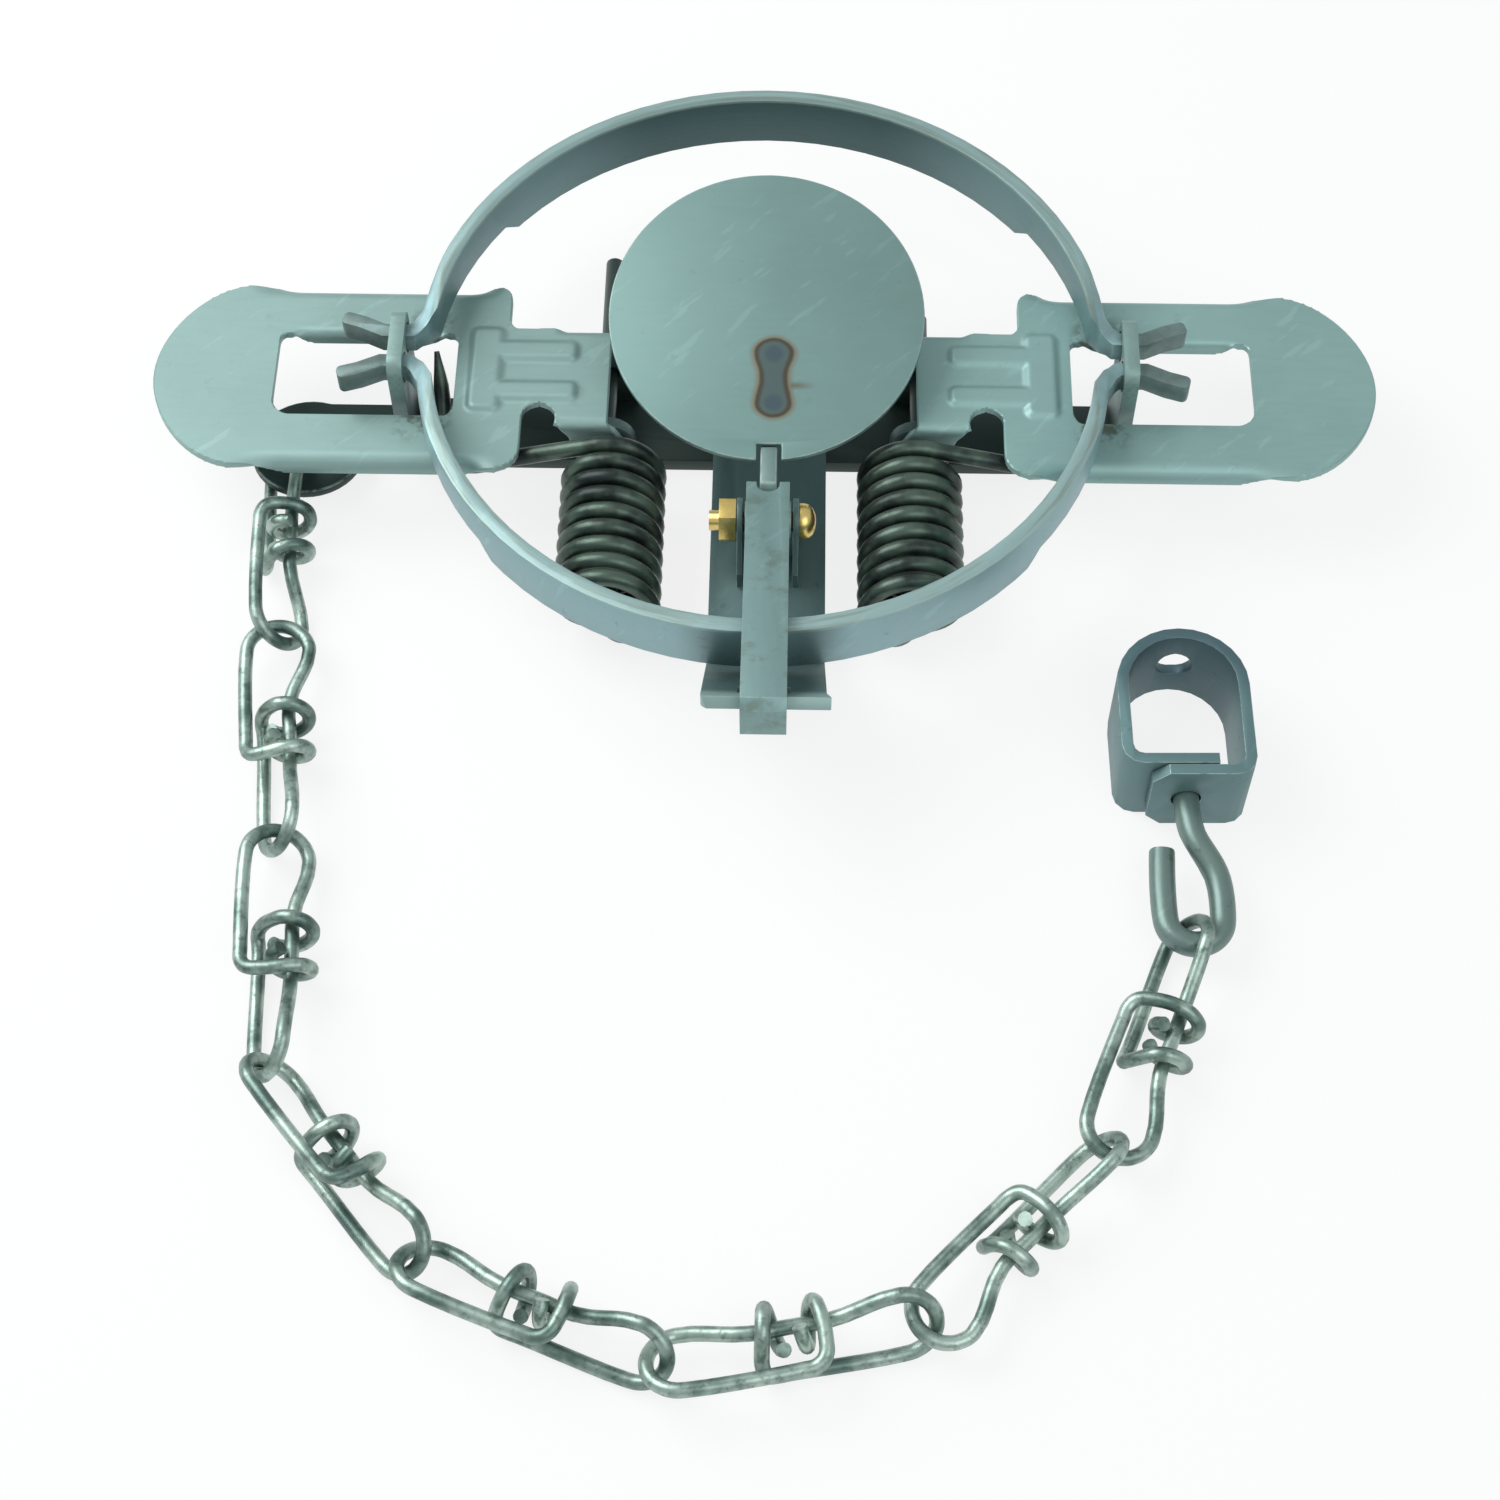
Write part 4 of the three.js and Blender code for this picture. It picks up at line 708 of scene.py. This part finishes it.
# Pan: a round steel plate on an upright shank, which is spot-welded under it and turns on a brass bolt.
# The weld has left a blue and brown dumbbell on the plate.
pan_centre, pan_tilt, pan_radius, pan_gauge = (0.6, 7.2, 31.5), math.radians(13.5), 32.0, 1.4
bpy.ops.object.select_all(action="DESELECT")
bpy.ops.mesh.primitive_cylinder_add(vertices=160, radius=pan_radius * mm, depth=pan_gauge * mm,
                                    location=(0, 0, -pan_gauge / 2 * mm))
pan = bpy.context.object
pan.name = "pan_plate"
bpy.ops.mesh.primitive_cube_add(size=1, location=(0.9 * mm, (-pan_radius + 0.8) * mm, 0),
                                scale=(5 * mm, 5.6 * mm, 6 * mm))
notch = bpy.context.object
shaped_by(pan, "BOOLEAN", operation="DIFFERENCE", object=notch, solver="EXACT")
bpy.data.objects.remove(notch)
eased(pan, 0.28, angle=40)
only(pan)
pan.location = Vector(pan_centre) * mm
pan.rotation_euler = (pan_tilt, 0, 0)
bpy.ops.object.transform_apply(location=True, rotation=True, scale=True)
pan_finish = rolled_steel("pan_steel", (125, 156, 152), along=(7, 1, 1), roughness=0.52, soot=0.10)
right, back, above = pan_finish.axes(pan_finish.place(pan_centre, (pan_tilt, 0, 0)))
warp = pan_finish.noise(pan_finish.place(), 4.0, 3.0) * 0.9 - 0.45
weld_across, weld_front, weld_rear = 1.6, -19.6, -8.3
# The mark is an outline round a middle line, wider at its two ends
held = back.most(weld_front).least(weld_rear)
widen = abs(back - weld_rear).fade(5.0, 0.0) * 1.15 + abs(back - weld_front).fade(5.0, 0.0) * 0.85


def weld_distance(middle):
    """How far a point of the plate is from a middle line of the weld mark"""
    return pan_finish.add("ShaderNodeMath", {"operation": "SQRT"},
                          {0: (right - weld_across) * (right - weld_across) + (back - middle) * (back - middle)})


off = weld_distance(held) - 2.4 - widen + warp * 0.5
pan_colour = pan_finish.over(pan_finish.base, tone(128, 104, 72), off.fade(1.9, 0.5) * 0.6)
pan_colour = pan_finish.over(pan_colour, tone(66, 56, 44), off.fade(0.8, 0.1) * 0.85)
pan_colour = pan_finish.over(pan_colour, tone(84, 104, 104), off.fade(-0.1, -0.9) * 0.9)
cores = weld_distance(weld_rear - 0.3).least(weld_distance(weld_front + 0.2))
pan_colour = pan_finish.over(pan_colour, tone(70, 88, 98), cores.fade(2.3, 1.2) * 0.8)
pan_smudge = right.fade(4.5, 5.5) * right.fade(10.9, 5.9) * abs(back + 15.6).fade(1.2, 0.0)
pan_colour = pan_finish.over(pan_colour, tone(104, 92, 70), pan_smudge * 0.7)
pan_finish.dress(pan_colour, pan_finish.rough, pan_finish.relief, 0.03)
fitted(pan, "pan", pan_finish, "steel", "pan_disc")
shank = copied("pan_shank", "pan_shank_plate")
eased(shank, 0.35)
shank_finish = rolled_steel("shank_steel", (128, 152, 148), along=(1, 4, 4))
shank_finish.dress(shank_finish.base, shank_finish.rough, shank_finish.relief, 0.04)
fitted(shank, "pan", shank_finish, "steel", "pan_shank")

# Pan bolt and nut: bright brass, turned and left bare. The bolt goes through the cross bar's ears and
# the pan's shank, with its round slotted head on the right and its six-sided nut on the left.
brass_finish = Finish("brass", metallic=0.95)
brass_here = brass_finish.place()
brass_cloud = brass_finish.noise(brass_here, 2.4, 4.0)
brass_colour = brass_finish.over(tone(214, 180, 92), tone(244, 222, 150), brass_cloud)
brass_finish.dress(brass_colour, 0.22 + 0.14 * brass_cloud, brass_cloud, 0.05)
for node, edge in (("pan_bolt", 0.3), ("pan_nut", 0.35)):
    fastener = copied(node, f"{node}_brass")
    eased(fastener, edge, angle=40)
    fitted(fastener, "frame", brass_finish, "brass", node)

# Dog: a steel strip that hooks round the cross bar's lip, lies over the front jaw and holds the pan's
# catch in the notch at its end.
dog_finish = rolled_steel("dog_steel", (132, 162, 160), along=(1, 7, 3))
dog = copied("dog", "dog_strip")
eased(dog, 0.4)
fitted(dog, "dog", dog_finish, "steel", "dog")
# Oil and handling have left brown-green stains on it
dog_stain = dog_finish.noise(dog_finish.place(), 5.5, 5.0, 0.65).fade(0.50, 0.68)
dog_colour = dog_finish.over(dog_finish.base, tone(104, 112, 92), dog_stain * 0.45)
dog_finish.dress(dog_colour, dog_finish.rough, dog_finish.relief, 0.05)

# Chain: eight double-loop links of bright wire. Each link is one wire, looped at both ends. The outer
# side of each loop runs on past the waist, curls in over it and is wrapped round it.
link_wire, link_half, link_pitch, link_height, link_play = 2.85, 6.15, 47.2, 6.5, 0.7
# The wire is a hair thinner than its solid, so that its smoothed bends stay clear of the next link
link_drawn = 2.75
knot_half, knot_gap, knot_pitch, knot_turn, knot_steps, waist_half = 5.3, 0.7, 3.8, 315, 8, 7
chain_finish = Finish("chain_wire", metallic=0.85)
chain_here = chain_finish.place()
chain_cloud = chain_finish.noise(chain_here, 7)
chain_wear = chain_finish.noise(chain_here, 1.6, 5.0, 0.7)
chain_colour = chain_finish.over(tone(98, 120, 113), tone(176, 196, 186), chain_cloud.fade(0.32, 0.68))
chain_colour = chain_finish.over(chain_colour, tone(48, 60, 56), chain_wear.fade(0.50, 0.72) * 0.62)
chain_finish.dress(chain_colour, 0.28 + 0.22 * chain_wear, chain_wear, 0.04)


def link_line(start_roll, end_roll, waist, inner):
    """The middle of a link's wire, from one wrapped end through both loops to the other"""
    reach = (link_pitch + link_wire + link_play) / 2
    wrap = (link_wire + knot_gap) / math.cos(math.radians(knot_turn / knot_steps / 2))

    def loop(roll, sign):
        lean = Vector((0, math.cos(math.radians(roll)), math.sin(math.radians(roll)))) * inner
        over = Vector((0, -math.sin(math.radians(roll)), math.cos(math.radians(roll))))

        def at(along, side, up, shift=0.0):
            return Vector((sign * along, waist * shift, 0)) + lean * side + over * up

        wire = []
        for i in range(knot_steps + 1):
            left = 1 - i / knot_steps
            turn = math.radians(knot_turn * left)
            wire.append(at(knot_pitch * left - knot_half, wrap * math.sin(turn), wrap * math.cos(turn), 1))
        for back, out, up, shift in ((1.057, 0.62, 0.62, 0.35), (0.943, 0.88, 0.3, 0.1),
                                     (0.623, 0.98, 0.06, 0), (0.17, 1, 0, 0)):
            wire.append(at(-knot_half * back, -link_half * out, wrap * up, shift))
        for i in range(9):
            turn = math.pi * i / 8
            wire.append(at(reach - link_half + link_half * math.sin(turn), -link_half * math.cos(turn), 0))
        return wire

    middle = [Vector((along, waist, 0)) for along in (-waist_half, 0, waist_half)]
    return loop(start_roll, -1) + middle + loop(end_roll, 1)[::-1]


start_inset = link_wire + link_play
headings = (-85.9, -83.9, -86.3, -50, -21.4, 11.1, 46.5, 69.1)
start_rolls = (55, -4, -22, -52, -32, -22, 4, 8)
end_rolls = (-50, 56, 56, 48, 56, 56, -56, -56)
waist_shares = (0.29, 0.37, 0.57, 0.37, 0.37, 0.49, -0.29, -0.57)
inner_sides = (1, 1, 1, 1, 1, 1, -1, -1)
lug_hole = (-99.0, -7.6)
joint = Vector((*lug_hole, link_height))
first = math.radians(headings[0])
joint += Vector((math.cos(first), math.sin(first), 0)) * (start_inset - link_wire / 2)
for number, heading in enumerate(headings):
    way = Vector((math.cos(math.radians(heading)), math.sin(math.radians(heading)), 0))
    middle = joint + way * (link_pitch - start_inset) / 2
    turned = Matrix.Rotation(math.radians(heading), 3, "Z")
    shape = link_line(start_rolls[number], end_rolls[number], waist_shares[number] * link_half, inner_sides[number])
    line = [middle + turned @ point for point in shape]
    link = wire_piece(f"chain_wire_{number + 1}", line, link_drawn, steps=5, sides=4)
    fitted(link, f"chain_link_{number + 1}", chain_finish, "chain_steel", f"chain_link_{number + 1}")
    joint += way * link_pitch

# Swivel eye: a thicker dark wire, hooked through the last link and left open. Its other end goes
# through the strap's lapped ends, and its upset head turns inside the strap.
eye_finish = rolled_steel("eye_steel", (118, 140, 134), along=(1, 1, 1), metallic=0.6, roughness=0.36, soot=0.6)
eye_finish.dress(eye_finish.base, eye_finish.rough, eye_finish.relief, 0.06)
eye = copied("swivel_eye", "swivel_eye_wire")
# Its bends are smoothed, and its cut end stays sharp
bpy.ops.object.mode_set(mode="EDIT")
bpy.ops.mesh.tris_convert_to_quads(face_threshold=math.radians(40), shape_threshold=math.radians(60))
bpy.ops.mesh.select_all(action="DESELECT")
bpy.ops.mesh.edges_select_sharp(sharpness=math.radians(50))
bpy.ops.transform.edge_crease(value=0.85)
bpy.ops.object.mode_set(mode="OBJECT")
shaped_by(eye, "SUBSURF", levels=2, render_levels=2)
eased(eye, 0, angle=50)
fitted(eye, "swivel_eye", eye_finish, "dark_steel", "swivel_eye")

# Swivel strap: a steel strip bent into an arch whose two ends lap in front, with the eye through them
# and a stake hole at the back.
strap_finish = rolled_steel("strap_steel", (106, 136, 138), along=(3, 3, 1), soot=0.5, bright=0.9)
strap = copied("swivel_strap", "swivel_strap_plate")
eased(strap, 0.35)
fitted(strap, "swivel_strap", strap_finish, "steel", "swivel_strap")
# The arch at the back lies in its own shade
strap_back = strap_finish.axes(strap_finish.place())[1].fade(-78, -66)
strap_colour = strap_finish.over(strap_finish.base, tone(74, 100, 108), strap_back * 0.7)
strap_finish.dress(strap_colour, strap_finish.rough, strap_finish.relief, 0.06)
